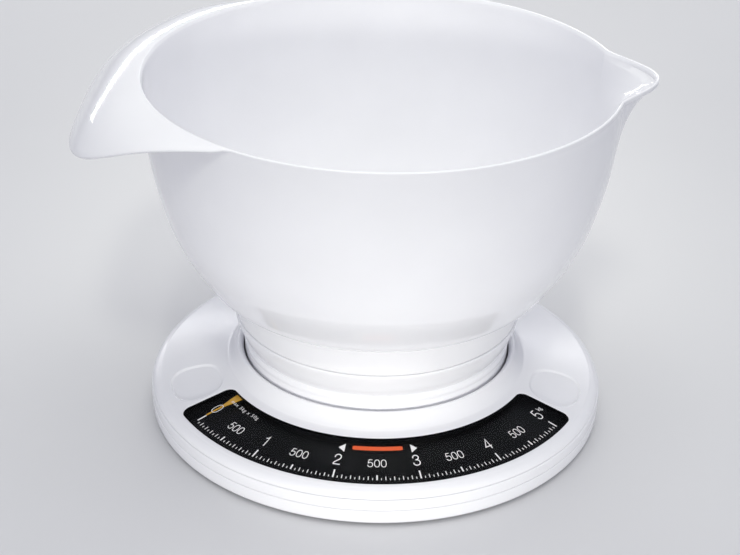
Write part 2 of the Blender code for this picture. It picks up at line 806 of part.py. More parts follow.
def make_pointer_arm(part, cutters):
    """Arm from the hub, cranked under the drum's skirt, then a blade that tapers to a needle."""
    heights = [
        (7.3, 27.2, 2.4), (14.0, 27.2, 2.2), (50.0, 27.2, 1.9), (60.5, 20.5, 1.9),
        (69.5, 20.5, 1.9), (76.5, cone_z(76.5) - 1.5 - 1.2, 2.1),
        (80.2, cone_z(80.2) - LENS_WALL - 0.8, 2.3), (86.0, cone_z(86.0) - LENS_WALL - 0.8, 2.1),
        (88.5, cone_z(88.5) - LENS_WALL - 0.8, 0.8),
        (POINTER_TIP_R, cone_z(POINTER_TIP_R) - LENS_WALL - 0.8, 0.35),
    ]
    thick = 0.6
    verts = []
    for r, top, half in heights:
        for side in (-half, half):
            for z in (top, top - thick):
                verts.append((r, side, z))
    faces = []
    last = len(heights) - 1
    for i in range(last):
        a = 4 * i
        b = 4 * (i + 1)
        faces.append((a, a + 2, b + 2, b))
        faces.append((a + 1, b + 1, b + 3, a + 3))
        faces.append((a, b, b + 1, a + 1))
        faces.append((a + 2, a + 3, b + 3, b + 2))
    faces.append((0, 1, 3, 2))
    end = 4 * last
    faces.append((end, end + 2, end + 3, end + 1))
    angle = math.radians(POINTER_REST_DEG)
    spun = []
    for x, y, z in verts:
        spun.append((
            x * math.cos(angle) - y * math.sin(angle),
            x * math.sin(angle) + y * math.cos(angle),
            z,
        ))
    arm = mesh_from(spun, faces, "pointer_arm", part, GOLD)
    collar = turned(
        "collar", [(7.1, 26.6), (9.2, 26.6), (9.2, 27.2), (7.1, 27.2)], cutters, None,
        SMALL_SEGMENTS
    )
    return boolean(arm, collar, "UNION")


# ---- bowl ---------------------------------------------------------------------------------
OUTER_WALL = (
    (72.0, 70.9), (76.5, 71.8), (81.0, 74.0), (85.5, 78.0), (91.7, 87.0), (97.7, 97.0),
    (103.0, 109.0), (107.0, 122.5), (110.4, 137.5), (112.8, 155.0), (114.3, 172.0),
    (114.6, 178.0),
)


def wing_extent(deg):
    """How far the wing's edge stands out from the rim, and how far it drops."""
    phi = abs((deg - 180.0 + 180.0) % 360.0 - 180.0)
    if phi > 80.0:
        return 1.0, 0.9
    c = abs(math.cos(math.radians(phi))) / WING_A
    s = abs(math.sin(math.radians(phi))) / WING_B
    reach = (c ** WING_N + s ** WING_N) ** (-1.0 / WING_N)
    soft = 2.0 * math.log(1.0 + math.exp((reach - BOWL_RIM_R) / 2.0))
    drop = 1.2 + WING_DROP / (1.0 + math.exp((phi - WING_DROP_MID_DEG) / WING_DROP_SOFT_DEG))
    fade = min(max((80.0 - phi) / 15.0, 0.0), 1.0)
    return 1.0 + soft, 0.9 + (drop - 0.9) * fade


def spout_push(deg, z):
    """How far the spout pushes the wall out at this angle and height."""
    off = abs((deg + 180.0) % 360.0 - 180.0) / SPOUT_HALF_DEG
    if off >= 1.0 or z <= SPOUT_LOW_Z:
        return 0.0
    across = 0.55 * math.cos(math.pi * off / 2.0) ** 2 + 0.45 * (1.0 - off ** 1.5)
    rise = ((z - SPOUT_LOW_Z) / (BOWL_RIM_Z - SPOUT_LOW_Z)) ** 2.2
    return SPOUT_LENGTH * across * rise


def bowl_columns():
    """Angles of the wall's sections: close together at the spout and along the wing."""
    half = [0.0, 1.8, 4.2, 7.0, 10.0, 13.2, 16.5, 21.0, 27.0]
    half += [34.0, 43.0, 52.0, 61.0, 71.0, 80.5, 90.0, 99.5, 109.0, 117.5, 125.0]
    half += [131.0, 136.0, 140.0, 143.5, 147.0, 151.0, 156.0, 162.0, 168.0, 174.0]
    mirrored = [360.0 - deg for deg in reversed(half[1:])]
    return half + [180.0] + mirrored


def bowl_section(deg):
    """Closed outline of the bowl's wall at one angle, from the outer bottom centre round."""
    ext, drop = wing_extent(deg)
    section = [(0.0, 67.6), (40.0, 67.6), (68.6, 67.6), (69.0, 67.0), (69.0, 55.7)]
    section += [(69.4, BOWL_FOOT_Z), (70.6, BOWL_FOOT_Z), (71.0, 55.7), (BOWL_FOOT_R, 69.8)]
    for r, z in OUTER_WALL:
        section.append((r + spout_push(deg, z), z))
    lip = spout_push(deg, BOWL_RIM_Z)
    end = math.radians(WING_END_DEG)
    under = []
    over = []
    for i in range(1, 5):
        u = i / 4.0
        side = math.sin(u * end) / math.sin(end)
        fall = (1.0 - math.cos(u * end)) / (1.0 - math.cos(end))
        over.append((113.8 + lip + ext * side, BOWL_RIM_Z - drop * fall))
    wall = min(WING_WALL, 1.2 + 0.1 * ext)
    for i in (0, 1, 3):
        r, z = over[i]
        u = (i + 1) / 4.0
        slope = u * end * min(drop / ext, 1.4)
        under.append((max(r - wall * math.sin(slope), 114.75 + lip), z - wall * math.cos(slope)))
    section.append(under[0])
    section.append(under[1])
    section.append(under[2])
    section += list(reversed(over))
    section.append((113.2 + lip, BOWL_RIM_Z - 0.1))
    section.append((112.5 + lip, BOWL_RIM_Z - 0.9))
    for r, z in reversed(OUTER_WALL[4:-1]):
        section.append((r - BOWL_WALL + spout_push(deg, z), z))
    section += [(80.6, 76.4), (76.0, 73.2), (68.0, 70.6), (40.0, 70.0), (0.0, 70.0)]
    return section


def make_bowl(part):
    return grid_solid("bowl", bowl_columns(), bowl_section, part, BOWL_WHITE)


# ---- assembly -----------------------------------------------------------------------------
def main():
    clear_scene()
    part = make_collection("kitchen_scale")
    cutters = make_collection("cutters", helper=True)
    make_bottom_pan(part, cutters)
    make_base_ring(part, cutters)
    make_feet(part, cutters)
    make_pan_screws(part, cutters)
    make_frame_plate(part, cutters)
    make_frame_screws(part, cutters)
    make_guide_tube(part)
    make_guide_bushes(part)
    make_calibration_nut(part)
    make_hub_circlip(part)
    make_bearing_bracket(part, cutters)
    make_bearing_bushes(part)
    make_bracket_screws(part, cutters)
    make_dial_cover(part, cutters)
    make_dial_lens(part, cutters)
    make_dial_plate(part, cutters)
    make_plate_screws(part, cutters)
    make_cover_retainer(part)
    make_platform_drum(part, cutters)
    make_stem(part, cutters)
    make_stem_screw(part, cutters)
    make_rack(part, cutters)
    make_rack_screws(part, cutters)
    make_main_spring(part)
    make_transfer_shaft(part)
    make_spur_pinion(part)
    make_bevel_pinion(part)
    make_pointer_hub(part, cutters)
    make_pointer_arm(part, cutters)
    make_bowl(part)


main()
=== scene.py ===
"""Looks of the mechanical kitchen scale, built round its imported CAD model."""

import json
import math

import bmesh
import bpy
import numpy as np
from mathutils import Matrix, Vector


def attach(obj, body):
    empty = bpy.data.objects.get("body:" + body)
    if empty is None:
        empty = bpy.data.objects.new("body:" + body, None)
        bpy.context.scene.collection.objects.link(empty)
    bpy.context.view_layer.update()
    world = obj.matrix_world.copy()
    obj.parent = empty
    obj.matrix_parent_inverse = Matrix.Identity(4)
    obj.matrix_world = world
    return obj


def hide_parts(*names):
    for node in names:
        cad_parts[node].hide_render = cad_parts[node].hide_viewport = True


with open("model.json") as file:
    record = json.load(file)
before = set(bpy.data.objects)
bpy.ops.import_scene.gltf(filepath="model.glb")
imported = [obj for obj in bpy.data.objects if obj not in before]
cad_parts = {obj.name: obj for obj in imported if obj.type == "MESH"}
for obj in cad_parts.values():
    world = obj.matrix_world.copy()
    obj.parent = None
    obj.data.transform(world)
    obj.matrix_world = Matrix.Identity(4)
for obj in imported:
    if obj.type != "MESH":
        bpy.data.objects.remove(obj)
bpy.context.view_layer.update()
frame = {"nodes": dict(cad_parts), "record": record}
nodes = frame["nodes"]
scene = bpy.context.scene
MM = 0.001

# ---- dimensions shared with the CAD model, in millimetres and degrees ----------------------
WINDOW_IN_R = 79.9
WINDOW_OUT_R = 107.7
WINDOW_CORNER_R = 4.5
WINDOW_HALF_DEG = 63.0
FRONT_DEG = -89.0
CONE_IN_Z = 25.8
CONE_OUT_Z = 19.5
COVER_WALL = 1.5
LENS_WALL = 1.1
LENS_DROP = 0.05
DIMPLE_OFF_DEG = 73.5
DIMPLE_R = 93.7
DIMPLE_HALF_RADIAL = 12.8
DIMPLE_HALF_DEG = 9.2
DIMPLE_DEPTH = 1.25
DIAL_SCREW_R = 76.6
POINTER_REST_DEG = -146.9
ZERO_DEG = -145.2
KG_DEG = 22.5
FOOT_R = 86.0
PAN_SCREW_R = 106.4
BOWL_RIM_Z = 180.54
BOWL_RIM_R = 114.9
BOWL_WALL = 2.0
WING_REACH = 144.9
WING_HALF_WIDTH = 97.2
WING_POWER = 3.471
WING_WALL = 1.3
SPOUT_LENGTH = 15.6
SPOUT_HALF_DEG = 16.5
SPOUT_LOW_Z = 150.0

# ---- sizes of single details, lengths in millimetres ---------------------------------------
LENS_EDGE_R = 0.25
DIMPLE_POWER = 2.6
DIMPLE_EDGE = 0.085
PRINT_LIFT = 0.02
PRINT_THICK = 0.04
TICK_OUT_R = 105.5
TICK_KG = 0.05
TICK_KINDS = ((20, 100.8, 0.72), (10, 102.6, 0.72), (2, 103.4, 0.4), (1, 104.3, 0.36))
NUMERAL_LOW_R = 97.7
FONT_CAP = 0.729
POINTER_THICK = 0.6
POINTER_GAP = 0.8
RIM_TOP_R = 113.8
PLAIN_REACH = 1.0
PLAIN_DROP = 0.9


# ---- mesh helpers --------------------------------------------------------------------------
def polar(r, deg, z=0.0):
    angle = math.radians(deg)
    return (r * math.cos(angle), r * math.sin(angle), z)


def clean(obj, sharp_deg=35.0):
    """Welds, turns the faces outward and shades smooth up to the sharp angle."""
    bm = bmesh.new()
    bm.from_mesh(obj.data)
    bmesh.ops.remove_doubles(bm, verts=bm.verts, dist=1e-6)
    bmesh.ops.dissolve_degenerate(bm, dist=1e-7, edges=bm.edges)
    bmesh.ops.recalc_face_normals(bm, faces=bm.faces)
    bm.to_mesh(obj.data)
    bm.free()
    obj.data.shade_smooth()
    obj.data.set_sharp_from_angle(angle=math.radians(sharp_deg))
    return obj


def mesh_object(name, verts, faces, sharp_deg=35.0):
    mesh = bpy.data.meshes.new(name)
    mesh.from_pydata([(x * MM, y * MM, z * MM) for x, y, z in verts], [], faces)
    obj = bpy.data.objects.new(name, mesh)
    scene.collection.objects.link(obj)
    return clean(obj, sharp_deg)


def loft(name, sections, closed_ring=True, sharp_deg=35.0):
    """Solid over closed sections of (x, y, z) points; the first and last meet or are capped."""
    rows = len(sections[0])
    verts = [point for section in sections for point in section]
    faces = []
    count = len(sections)
    for c in range(count if closed_ring else count - 1):
        d = (c + 1) % count
        for i in range(rows):
            j = (i + 1) % rows
            faces.append((c * rows + i, d * rows + i, d * rows + j, c * rows + j))
    if not closed_ring:
        faces.append(tuple(range(rows)))
        faces.append(tuple(range((count - 1) * rows, count * rows)))
    return mesh_object(name, verts, faces, sharp_deg)


def around_axis(name, section_at, columns):
    """Ring solid: section_at(deg) gives the closed (r, z) outline at each of the angles."""
    return loft(name, [[polar(r, deg, z) for r, z in section_at(deg)] for deg in columns])


def plain_ring(name, outline, step_deg):
    """Ring solid with the same closed (r, z) outline all the way round."""
    return around_axis(name, lambda deg: outline, np.arange(0, 360, step_deg))


def turned(name, sections, sharp_deg=35.0):
    """Solid through open sections of (x, y, z) points that start and end on the axis."""
    rows = len(sections[0])
    verts = [point for section in sections for point in section]
    faces = []
    count = len(sections)
    for c in range(count):
        d = (c + 1) % count
        for i in range(rows - 1):
            faces.append((c * rows + i, d * rows + i, d * rows + i + 1, c * rows + i + 1))
    return mesh_object(name, verts, faces, sharp_deg)


def smooth_run(points, per_span=4):
    """Catmull-Rom curve through (r, z) points, ends kept."""
    pts = [points[0]] + list(points) + [points[-1]]
    out = []
    for k in range(1, len(pts) - 2):
        p0, p1, p2, p3 = (np.array(pts[k + d], float) for d in (-1, 0, 1, 2))
        for i in range(per_span):
            t = i / per_span
            a = 2.0 * p1 + (p2 - p0) * t
            b = (2.0 * p0 - 5.0 * p1 + 4.0 * p2 - p3) * t * t
            c = (3.0 * p1 - p0 - 3.0 * p2 + p3) * t * t * t
            out.append(tuple((a + b + c) * 0.5))
    out.append(tuple(points[-1]))
    return out


def rounded(points, radius=0.3, steps=3):
    """Closed (r, z) outline with its corners rounded off by up to the radius."""
    out = []
    count = len(points)
    for i in range(count):
        before = np.array(points[i - 1], float)
        here = np.array(points[i], float)
        after = np.array(points[(i + 1) % count], float)
        if here[0] < 1e-6:
            out.append(tuple(here))
            continue
        la = np.linalg.norm(before - here)
        lb = np.linalg.norm(after - here)
        trim = min(radius, 0.45 * la, 0.45 * lb)
        a = here + (before - here) / la * trim
        b = here + (after - here) / lb * trim
        for k in range(steps + 1):
            t = k / steps
            out.append(tuple(a * (1 - t) ** 2 + here * 2 * t * (1 - t) + b * t * t))
    return out


def circle(x, y, r, sides):
    step = 2.0 * math.pi / sides
    return [(x + r * math.cos(i * step), y + r * math.sin(i * step)) for i in range(sides)]


def knob(name, x, y, profile, sides):
    """Turned solid with its axis at (x, y); the (r, z) profile starts and ends on the axis."""
    sections = []
    for i in range(sides):
        angle = 2.0 * math.pi * i / sides
        sections.append([(x + r * math.cos(angle), y + r * math.sin(angle), z) for r, z in profile])
    return turned(name, sections)


def upright(name, x, y, r, low, high, sides=40):
    """Upright cylinder, mostly a tool for holes."""
    return loft(name, [[(a, b, z) for a, b in circle(x, y, r, sides)] for z in (low, high)], False)


def four_places(radius, first_deg):
    """Four (x, y) places a quarter turn apart."""
    return [polar(radius, first_deg + 90.0 * i)[:2] for i in range(4)]


def cut(obj, tool, operation="DIFFERENCE", sharp_deg=35.0):
    """Boolean with the tool, which is then removed."""
    modifier = obj.modifiers.new("Cut", "BOOLEAN")
    modifier.operation = operation
    modifier.solver = "EXACT"
    modifier.object = tool
    graph = bpy.context.evaluated_depsgraph_get()
    mesh = bpy.data.meshes.new_from_object(obj.evaluated_get(graph))
    obj.modifiers.clear()
    old = obj.data
    obj.data = mesh
    bpy.data.meshes.remove(old)
    bpy.data.objects.remove(tool, do_unlink=True)
    return clean(obj, sharp_deg)


def steady_normals(obj):
    """Large faces decide the normals where a cut left small ones beside them."""
    modifier = obj.modifiers.new("Normals", "WEIGHTED_NORMAL")
    modifier.keep_sharp = True
    modifier.weight = 80
    return obj


def finish_piece(obj, body, slot, look, *replaced):
    """Gives a piece its look and its moving body, and hides the nodes it replaces; slot is not used."""
    obj.data.materials.clear()
    obj.data.materials.append(look)
    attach(obj, body)
    if replaced:
        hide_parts(*replaced)
    return obj


# ---- procedural materials ------------------------------------------------------------------
def new_material(name):
    mat = bpy.data.materials.new(name)
    mat.use_nodes = True
    tree = mat.node_tree
    shader = tree.nodes["Principled BSDF"]
    coords = tree.nodes.new("ShaderNodeTexCoord")
    return mat, tree, shader, coords.outputs["Object"]


def noise(tree, vector, scale, detail=3.0, rough=0.5):
    node = tree.nodes.new("ShaderNodeTexNoise")
    node.inputs["Scale"].default_value = scale
    node.inputs["Detail"].default_value = detail
    node.inputs["Roughness"].default_value = rough
    tree.links.new(vector, node.inputs["Vector"])
    return node.outputs["Fac"]


def ramp(tree, source, stops):
    """Colour ramp: stops are (position, colour)."""
    node = tree.nodes.new("ShaderNodeValToRGB")
    band = node.color_ramp
    while len(band.elements) > 1:
        band.elements.remove(band.elements[-1])
    band.elements[0].position = stops[0][0]
    band.elements[0].color = (*stops[0][1], 1.0)
    for position, colour in stops[1:]:
        element = band.elements.new(position)
        element.color = (*colour, 1.0)
    tree.links.new(source, node.inputs["Fac"])
    return node.outputs["Color"]


def spread(tree, source, low, high):
    """Noise between 0.3 and 0.7 spread over low to high."""
    node = tree.nodes.new("ShaderNodeMapRange")
    node.inputs["From Min"].default_value = 0.3
    node.inputs["From Max"].default_value = 0.7
    node.inputs["To Min"].default_value = low
    node.inputs["To Max"].default_value = high
    tree.links.new(source, node.inputs["Value"])
    return node.outputs["Result"]


def bump(tree, shader, height, strength, distance_mm, before=None):
    node = tree.nodes.new("ShaderNodeBump")
    node.inputs["Strength"].default_value = strength
    node.inputs["Distance"].default_value = distance_mm * MM
    tree.links.new(height, node.inputs["Height"])
    if before is not None:
        tree.links.new(before, node.inputs["Normal"])
    tree.links.new(node.outputs["Normal"], shader.inputs["Normal"])
    return node.outputs["Normal"]


def shade(colour, factor):
    return tuple(min(c * factor, 1.0) for c in colour)


def plastic(name, colour, rough=(0.16, 0.24), ripple=0.03, subsurface=0.0, grain=0.01, gloss=0.5):
    """Moulded plastic: faint flow marks in the colour, a soft ripple and a fine skin grain."""
    mat, tree, shader, coords = new_material(name)
    wide = noise(tree, coords, 26.0, 3.0)
    stops = [(0.3, shade(colour, 0.985)), (0.7, shade(colour, 1.012))]
    tree.links.new(ramp(tree, wide, stops), shader.inputs["Base Color"])
    tree.links.new(spread(tree, noise(tree, coords, 160.0, 4.0), *rough), shader.inputs["Roughness"])
    slow = bump(tree, shader, noise(tree, coords, 45.0, 2.0), ripple, 0.25)
    bump(tree, shader, noise(tree, coords, 600.0, 2.0), grain, 0.03, slow)
    if subsurface:
        shader.inputs["Subsurface Weight"].default_value = subsurface
        shader.inputs["Subsurface Radius"].default_value = (1.0, 1.0, 1.05)
        shader.inputs["Subsurface Scale"].default_value = 0.004
    shader.inputs["Specular IOR Level"].default_value = gloss
    shader.inputs["IOR"].default_value = 1.5
    return mat


def metal(name, colour, rough=(0.25, 0.4), axis_scale=(40.0, 40.0, 900.0), brush=0.12):
    """Drawn or turned metal: fine lines along one way and a mottled shine."""
    mat, tree, shader, coords = new_material(name)
    stretch = tree.nodes.new("ShaderNodeMapping")
    stretch.inputs["Scale"].default_value = axis_scale
    tree.links.new(coords, stretch.inputs["Vector"])
    lines = noise(tree, stretch.outputs["Vector"], 1.0, 4.0, 0.65)
    stops = [(0.25, shade(colour, 0.86)), (0.75, shade(colour, 1.1))]
    tree.links.new(ramp(tree, lines, stops), shader.inputs["Base Color"])
    tree.links.new(spread(tree, noise(tree, coords, 210.0, 3.0), *rough), shader.inputs["Roughness"])
    bump(tree, shader, lines, brush, 0.05)
    shader.inputs["Metallic"].default_value = 1.0
    return mat


def rubber(name, colour):
    mat, tree, shader, coords = new_material(name)
    stops = [(0.3, shade(colour, 0.8)), (0.7, shade(colour, 1.2))]
    tree.links.new(ramp(tree, noise(tree, coords, 320.0, 4.0), stops), shader.inputs["Base Color"])
    tree.links.new(spread(tree, noise(tree, coords, 140.0, 3.0), 0.65, 0.85), shader.inputs["Roughness"])
    bump(tree, shader, noise(tree, coords, 1500.0, 3.0), 0.25, 0.08)
    return mat


def printed(name, colour, rough=0.45):
    """Screen-printed ink: slight unevenness in cover and a faint pebble."""
    mat, tree, shader, coords = new_material(name)
    stops = [(0.3, shade(colour, 0.93)), (0.7, shade(colour, 1.04))]
    tree.links.new(ramp(tree, noise(tree, coords, 900.0, 3.0), stops), shader.inputs["Base Color"])
    level = spread(tree, noise(tree, coords, 600.0, 2.0), rough - 0.06, rough + 0.06)
    tree.links.new(level, shader.inputs["Roughness"])
    bump(tree, shader, noise(tree, coords, 2400.0, 2.0), 0.08, 0.03)
    return mat


def clear_window(name):
    """Thin clear strip: see-through straight on, with a gloss that grows towards the edge."""
    mat, tree, shader, coords = new_material(name)
    tree.nodes.remove(shader)
    output = tree.nodes["Material Output"]
    through = tree.nodes.new("ShaderNodeBsdfTransparent")
    tint = ramp(tree, noise(tree, coords, 30.0), [(0.3, (0.93, 0.94, 0.95)), (0.7, (0.95, 0.96, 0.96))])
    tree.links.new(tint, through.inputs["Color"])
    gloss = tree.nodes.new("ShaderNodeBsdfGlossy")
    gloss.inputs["Roughness"].default_value = 0.07
    waves = tree.nodes.new("ShaderNodeBump")
    waves.inputs["Strength"].default_value = 0.04
    waves.inputs["Distance"].default_value = 0.3 * MM
    tree.links.new(noise(tree, coords, 60.0, 2.0), waves.inputs["Height"])
    tree.links.new(waves.outputs["Normal"], gloss.inputs["Normal"])
    slant = tree.nodes.new("ShaderNodeLayerWeight")
    grey = [(at, (level, level, level)) for at, level in
            ((0.0, 0.004), (0.35, 0.005), (0.6, 0.014), (0.8, 0.08), (1.0, 0.6))]
    share = ramp(tree, slant.outputs["Facing"], grey)
    mix = tree.nodes.new("ShaderNodeMixShader")
    tree.links.new(share, mix.inputs["Fac"])
    tree.links.new(through.outputs["BSDF"], mix.inputs[1])
    tree.links.new(gloss.outputs["BSDF"], mix.inputs[2])
    tree.links.new(mix.outputs["Shader"], output.inputs["Surface"])
    return mat


BOWL_PLASTIC = plastic("bowl_white", (0.86, 0.86, 0.89), (0.08, 0.13), 0.03, subsurface=0.25)
COVER_PLASTIC = plastic("cover_white", (0.84, 0.84, 0.87), (0.2, 0.27), 0.03, subsurface=0.05)
BASE_PLASTIC = plastic("base_white", (0.84, 0.84, 0.87), (0.2, 0.27), 0.03, subsurface=0.05)
DRUM_PLASTIC = plastic("drum_white", (0.85, 0.85, 0.88), (0.2, 0.27), 0.03, subsurface=0.05)
INNER_PLASTIC = plastic("inner_grey", (0.42, 0.42, 0.44), (0.4, 0.55), 0.08, grain=0.1)
DIAL_BLACK = plastic("dial_black", (0.002, 0.002, 0.0025), (0.3, 0.42), 0.03, grain=0.06, gloss=0.12)
STEEL = metal("sheet_steel", (0.58, 0.58, 0.6), (0.28, 0.42), (60.0, 900.0, 60.0))
SCREW_STEEL = metal("zinc_steel", (0.62, 0.63, 0.66), (0.22, 0.38), (300.0, 300.0, 300.0), 0.06)
SPRING_STEEL = metal("spring_wire", (0.34, 0.34, 0.36), (0.24, 0.34), (500.0, 500.0, 60.0))
BRASS = metal("brass", (0.72, 0.53, 0.23), (0.2, 0.34), (80.0, 80.0, 700.0), 0.08)
FOOT_RUBBER = rubber("foot_rubber", (0.17, 0.17, 0.175))
LENS_CLEAR = clear_window("window_clear")
INK_WHITE = printed("ink_white", (0.86, 0.86, 0.86))
INK_RED = printed("ink_red", (0.78, 0.1, 0.015))
GOLD_PAINT = printed("gold_paint", (0.8, 0.42, 0.04), 0.36)

SLOT_LOOKS = {
    "base_plastic": BASE_PLASTIC, "cover_plastic": COVER_PLASTIC,
    "platform_plastic": DRUM_PLASTIC, "bowl_plastic": BOWL_PLASTIC,
    "inner_plastic": INNER_PLASTIC, "foot_rubber": FOOT_RUBBER, "steel": STEEL,
    "screw_steel": SCREW_STEEL, "spring_steel": SPRING_STEEL, "brass": BRASS,
    "lens": LENS_CLEAR, "dial_black": DIAL_BLACK, "pointer_gold": GOLD_PAINT,
}
for part in frame["record"]["subparts"]:
    for slot in nodes[part["node"]].material_slots:
        slot.material = SLOT_LOOKS[part["material_slot"]]


# ---- dial cover, window and scale ----------------------------------------------------------
def cone_z(r):
    slope = (CONE_OUT_Z - CONE_IN_Z) / (WINDOW_OUT_R - WINDOW_IN_R)
    return CONE_IN_Z + slope * (r - WINDOW_IN_R)


def side_angle(deg, centre):
    return (deg - centre + 180.0) % 360.0 - 180.0


def dimple_depth(r, deg):
    """Thumb rest: a shallow dish with a soft, clear edge."""
    depth = 0.0
    for side in (-1.0, 1.0):
        off = side_angle(deg, FRONT_DEG + side * DIMPLE_OFF_DEG)
        u = off / DIMPLE_HALF_DEG
        v = (r - DIMPLE_R) / DIMPLE_HALF_RADIAL
        q = (abs(u) ** DIMPLE_POWER + abs(v) ** DIMPLE_POWER) ** (1.0 / DIMPLE_POWER)
        if q < 1.0:
            edge = min((1.0 - q) / DIMPLE_EDGE, 1.0)
            edge = edge * edge * (3.0 - 2.0 * edge)
            depth = max(depth, DIMPLE_DEPTH * edge * (0.7 + 0.3 * (1.0 - q * q)))
    return depth


def cover_columns():
    """Angles of the cover's sections, close together across the thumb rests."""
    columns = []
    deg = 0.0
    while deg < 360.0 - 1e-6:
        columns.append(deg)
        near = False
        for side in (-1.0, 1.0):
            if abs(side_angle(deg + 0.5, FRONT_DEG + side * DIMPLE_OFF_DEG)) < DIMPLE_HALF_DEG + 0.8:
                near = True
        deg += 0.25 if near else 1.5
    return columns


COVER_TOP = smooth_run([
    (67.6, 31.4), (67.9, 32.6), (68.7, 33.8), (69.5, 34.38), (70.2, 34.38), (70.8, 33.85), (71.25, 32.8),
    (71.9, 31.3), (72.9, 29.6), (74.1, 28.2), (75.3, 27.2),
], 3) + [(75.55, 27.0), (75.85, 26.84), (76.3, 26.68)]
COVER_CONE = [76.9 + 0.4 * i for i in range(79)]
COVER_EDGE = [(108.6, 19.3), (109.4, 19.1), (109.9, 18.98), (110.1, 18.86), (110.3, 18.72)] + smooth_run([
    (110.9, 18.5), (111.9, 18.05), (113.0, 17.3), (113.8, 16.4), (114.2, 15.6), (114.3, 15.25),
], 4)


def cover_section(deg):
    outer = list(COVER_TOP)
    outer += [(r, cone_z(r) - dimple_depth(r, deg)) for r in COVER_CONE]
    outer += COVER_EDGE
    inner = [(114.0, 15.08), (110.3, 15.08), (110.3, 12.4), (109.0, 12.4), (109.0, 17.2)]
    for r in (107.0, 103.5, 99.0, 95.0, 91.0, 87.0, 83.0, 79.0):
        inner.append((r, cone_z(r) - COVER_WALL - dimple_depth(r, deg)))
    inner += [(75.2, 25.4), (72.8, 27.5), (71.0, 29.8), (70.2, 31.0), (69.1, 31.0), (69.1, 24.4),
              (67.6, 24.4)]
    return outer + inner


def corner_centre(ring_r, outside, grow=0.0):
    """Radius and angle (radians from the window's middle) of the centre of a rounded corner."""
    corner = WINDOW_CORNER_R + grow
    centre_r = ring_r - corner if outside else ring_r + corner
    return centre_r, math.radians(WINDOW_HALF_DEG) - math.asin((corner - grow) / centre_r)


def window_outline(grow, corner_steps=10, arc_steps=84):
    """Rounded annular sector round the dial window, grown outward by grow."""
    inner = WINDOW_IN_R - grow
    outer = WINDOW_OUT_R + grow
    corner = WINDOW_CORNER_R + grow
    front = math.radians(FRONT_DEG)

    def corner_points(ring_r, outside, side):
        centre_r, centre_a = corner_centre(ring_r, outside, grow)
        cx, cy = centre_r * math.cos(centre_a), centre_r * math.sin(centre_a)
        end = centre_a + math.pi / 2.0
        out = []
        for i in range(corner_steps + 1):
            t = i / corner_steps
            if outside:
                angle = centre_a + t * (end - centre_a)
            else:
                angle = end + t * (centre_a + math.pi - end)
            out.append((cx + corner * math.cos(angle), side * (cy + corner * math.sin(angle))))
        return out

    arc_in = corner_centre(inner, False, grow)[1]
    arc_out = corner_centre(outer, True, grow)[1]
    points = []
    for i in range(1, arc_steps):
        points.append(polar(outer, math.degrees(-arc_out + 2.0 * arc_out * i / arc_steps))[:2])
    points += corner_points(outer, True, 1.0) + corner_points(inner, False, 1.0)
    for i in range(1, arc_steps):
        points.append(polar(inner, math.degrees(arc_in - 2.0 * arc_in * i / arc_steps))[:2])
    points += list(reversed(corner_points(inner, False, -1.0)))
    points += list(reversed(corner_points(outer, True, -1.0)))
    c, s = math.cos(front), math.sin(front)
    return [(x * c - y * s, x * s + y * c) for x, y in points]


def window_ring(grow, drop):
    """The window's outline laid on the dial cone, drop below it."""
    return [(x, y, cone_z(math.hypot(x, y)) - drop) for x, y in window_outline(grow)]


def make_dial_cover():
    cover = around_axis("dial_cover_shell", cover_section, cover_columns())
    flat = [[(x, y, 8.0) for x, y in window_outline(0.1)]]
    rings = flat + [window_ring(g, d) for g, d in (
        (0.1, 0.5), (0.12, 0.32), (0.18, 0.17), (0.28, 0.05), (0.42, 0.0), (0.46, -0.3), (0.52, -3.0),
    )]
    tool = loft("window_tool", rings, False)
    cover = cut(cover, tool, sharp_deg=32.0)
    finish_piece(steady_normals(cover), "dial_ring", "cover_plastic", COVER_PLASTIC, "dial_cover")


def window_limits(theta):
    """Inner and outer radius of the window at an angle (radians) from its middle."""
    corner = WINDOW_CORNER_R
    out = []
    for ring_r, outside in ((WINDOW_IN_R, False), (WINDOW_OUT_R, True)):
        centre_r, centre_a = corner_centre(ring_r, outside)
        turn = abs(theta) - centre_a
        if turn <= 0.0:
            out.append(ring_r)
            continue
        root = max(corner ** 2 - (centre_r * math.sin(turn)) ** 2, 0.0) ** 0.5
        out.append(centre_r * math.cos(turn) + (root if outside else -root))
    return out


def edge_distance(x, y):
    """Distance of points in the window's own frame from its edge, inside positive."""
    corner = WINDOW_CORNER_R
    half = math.radians(WINDOW_HALF_DEG)
    r = math.hypot(x, y)
    theta = abs(math.atan2(y, x))
    best = min(r - WINDOW_IN_R, WINDOW_OUT_R - r, r * math.sin(max(half - theta, 0.0)))
    for ring_r, outside in ((WINDOW_IN_R, False), (WINDOW_OUT_R, True)):
        centre_r, centre_a = corner_centre(ring_r, outside)
        beyond = r > centre_r if outside else r < centre_r
        if beyond and theta > centre_a:
            cx, cy = centre_r * math.cos(centre_a), centre_r * math.sin(centre_a)
            best = corner - math.hypot(r * math.cos(theta) - cx, r * math.sin(theta) - cy)
    return max(best, 0.0)


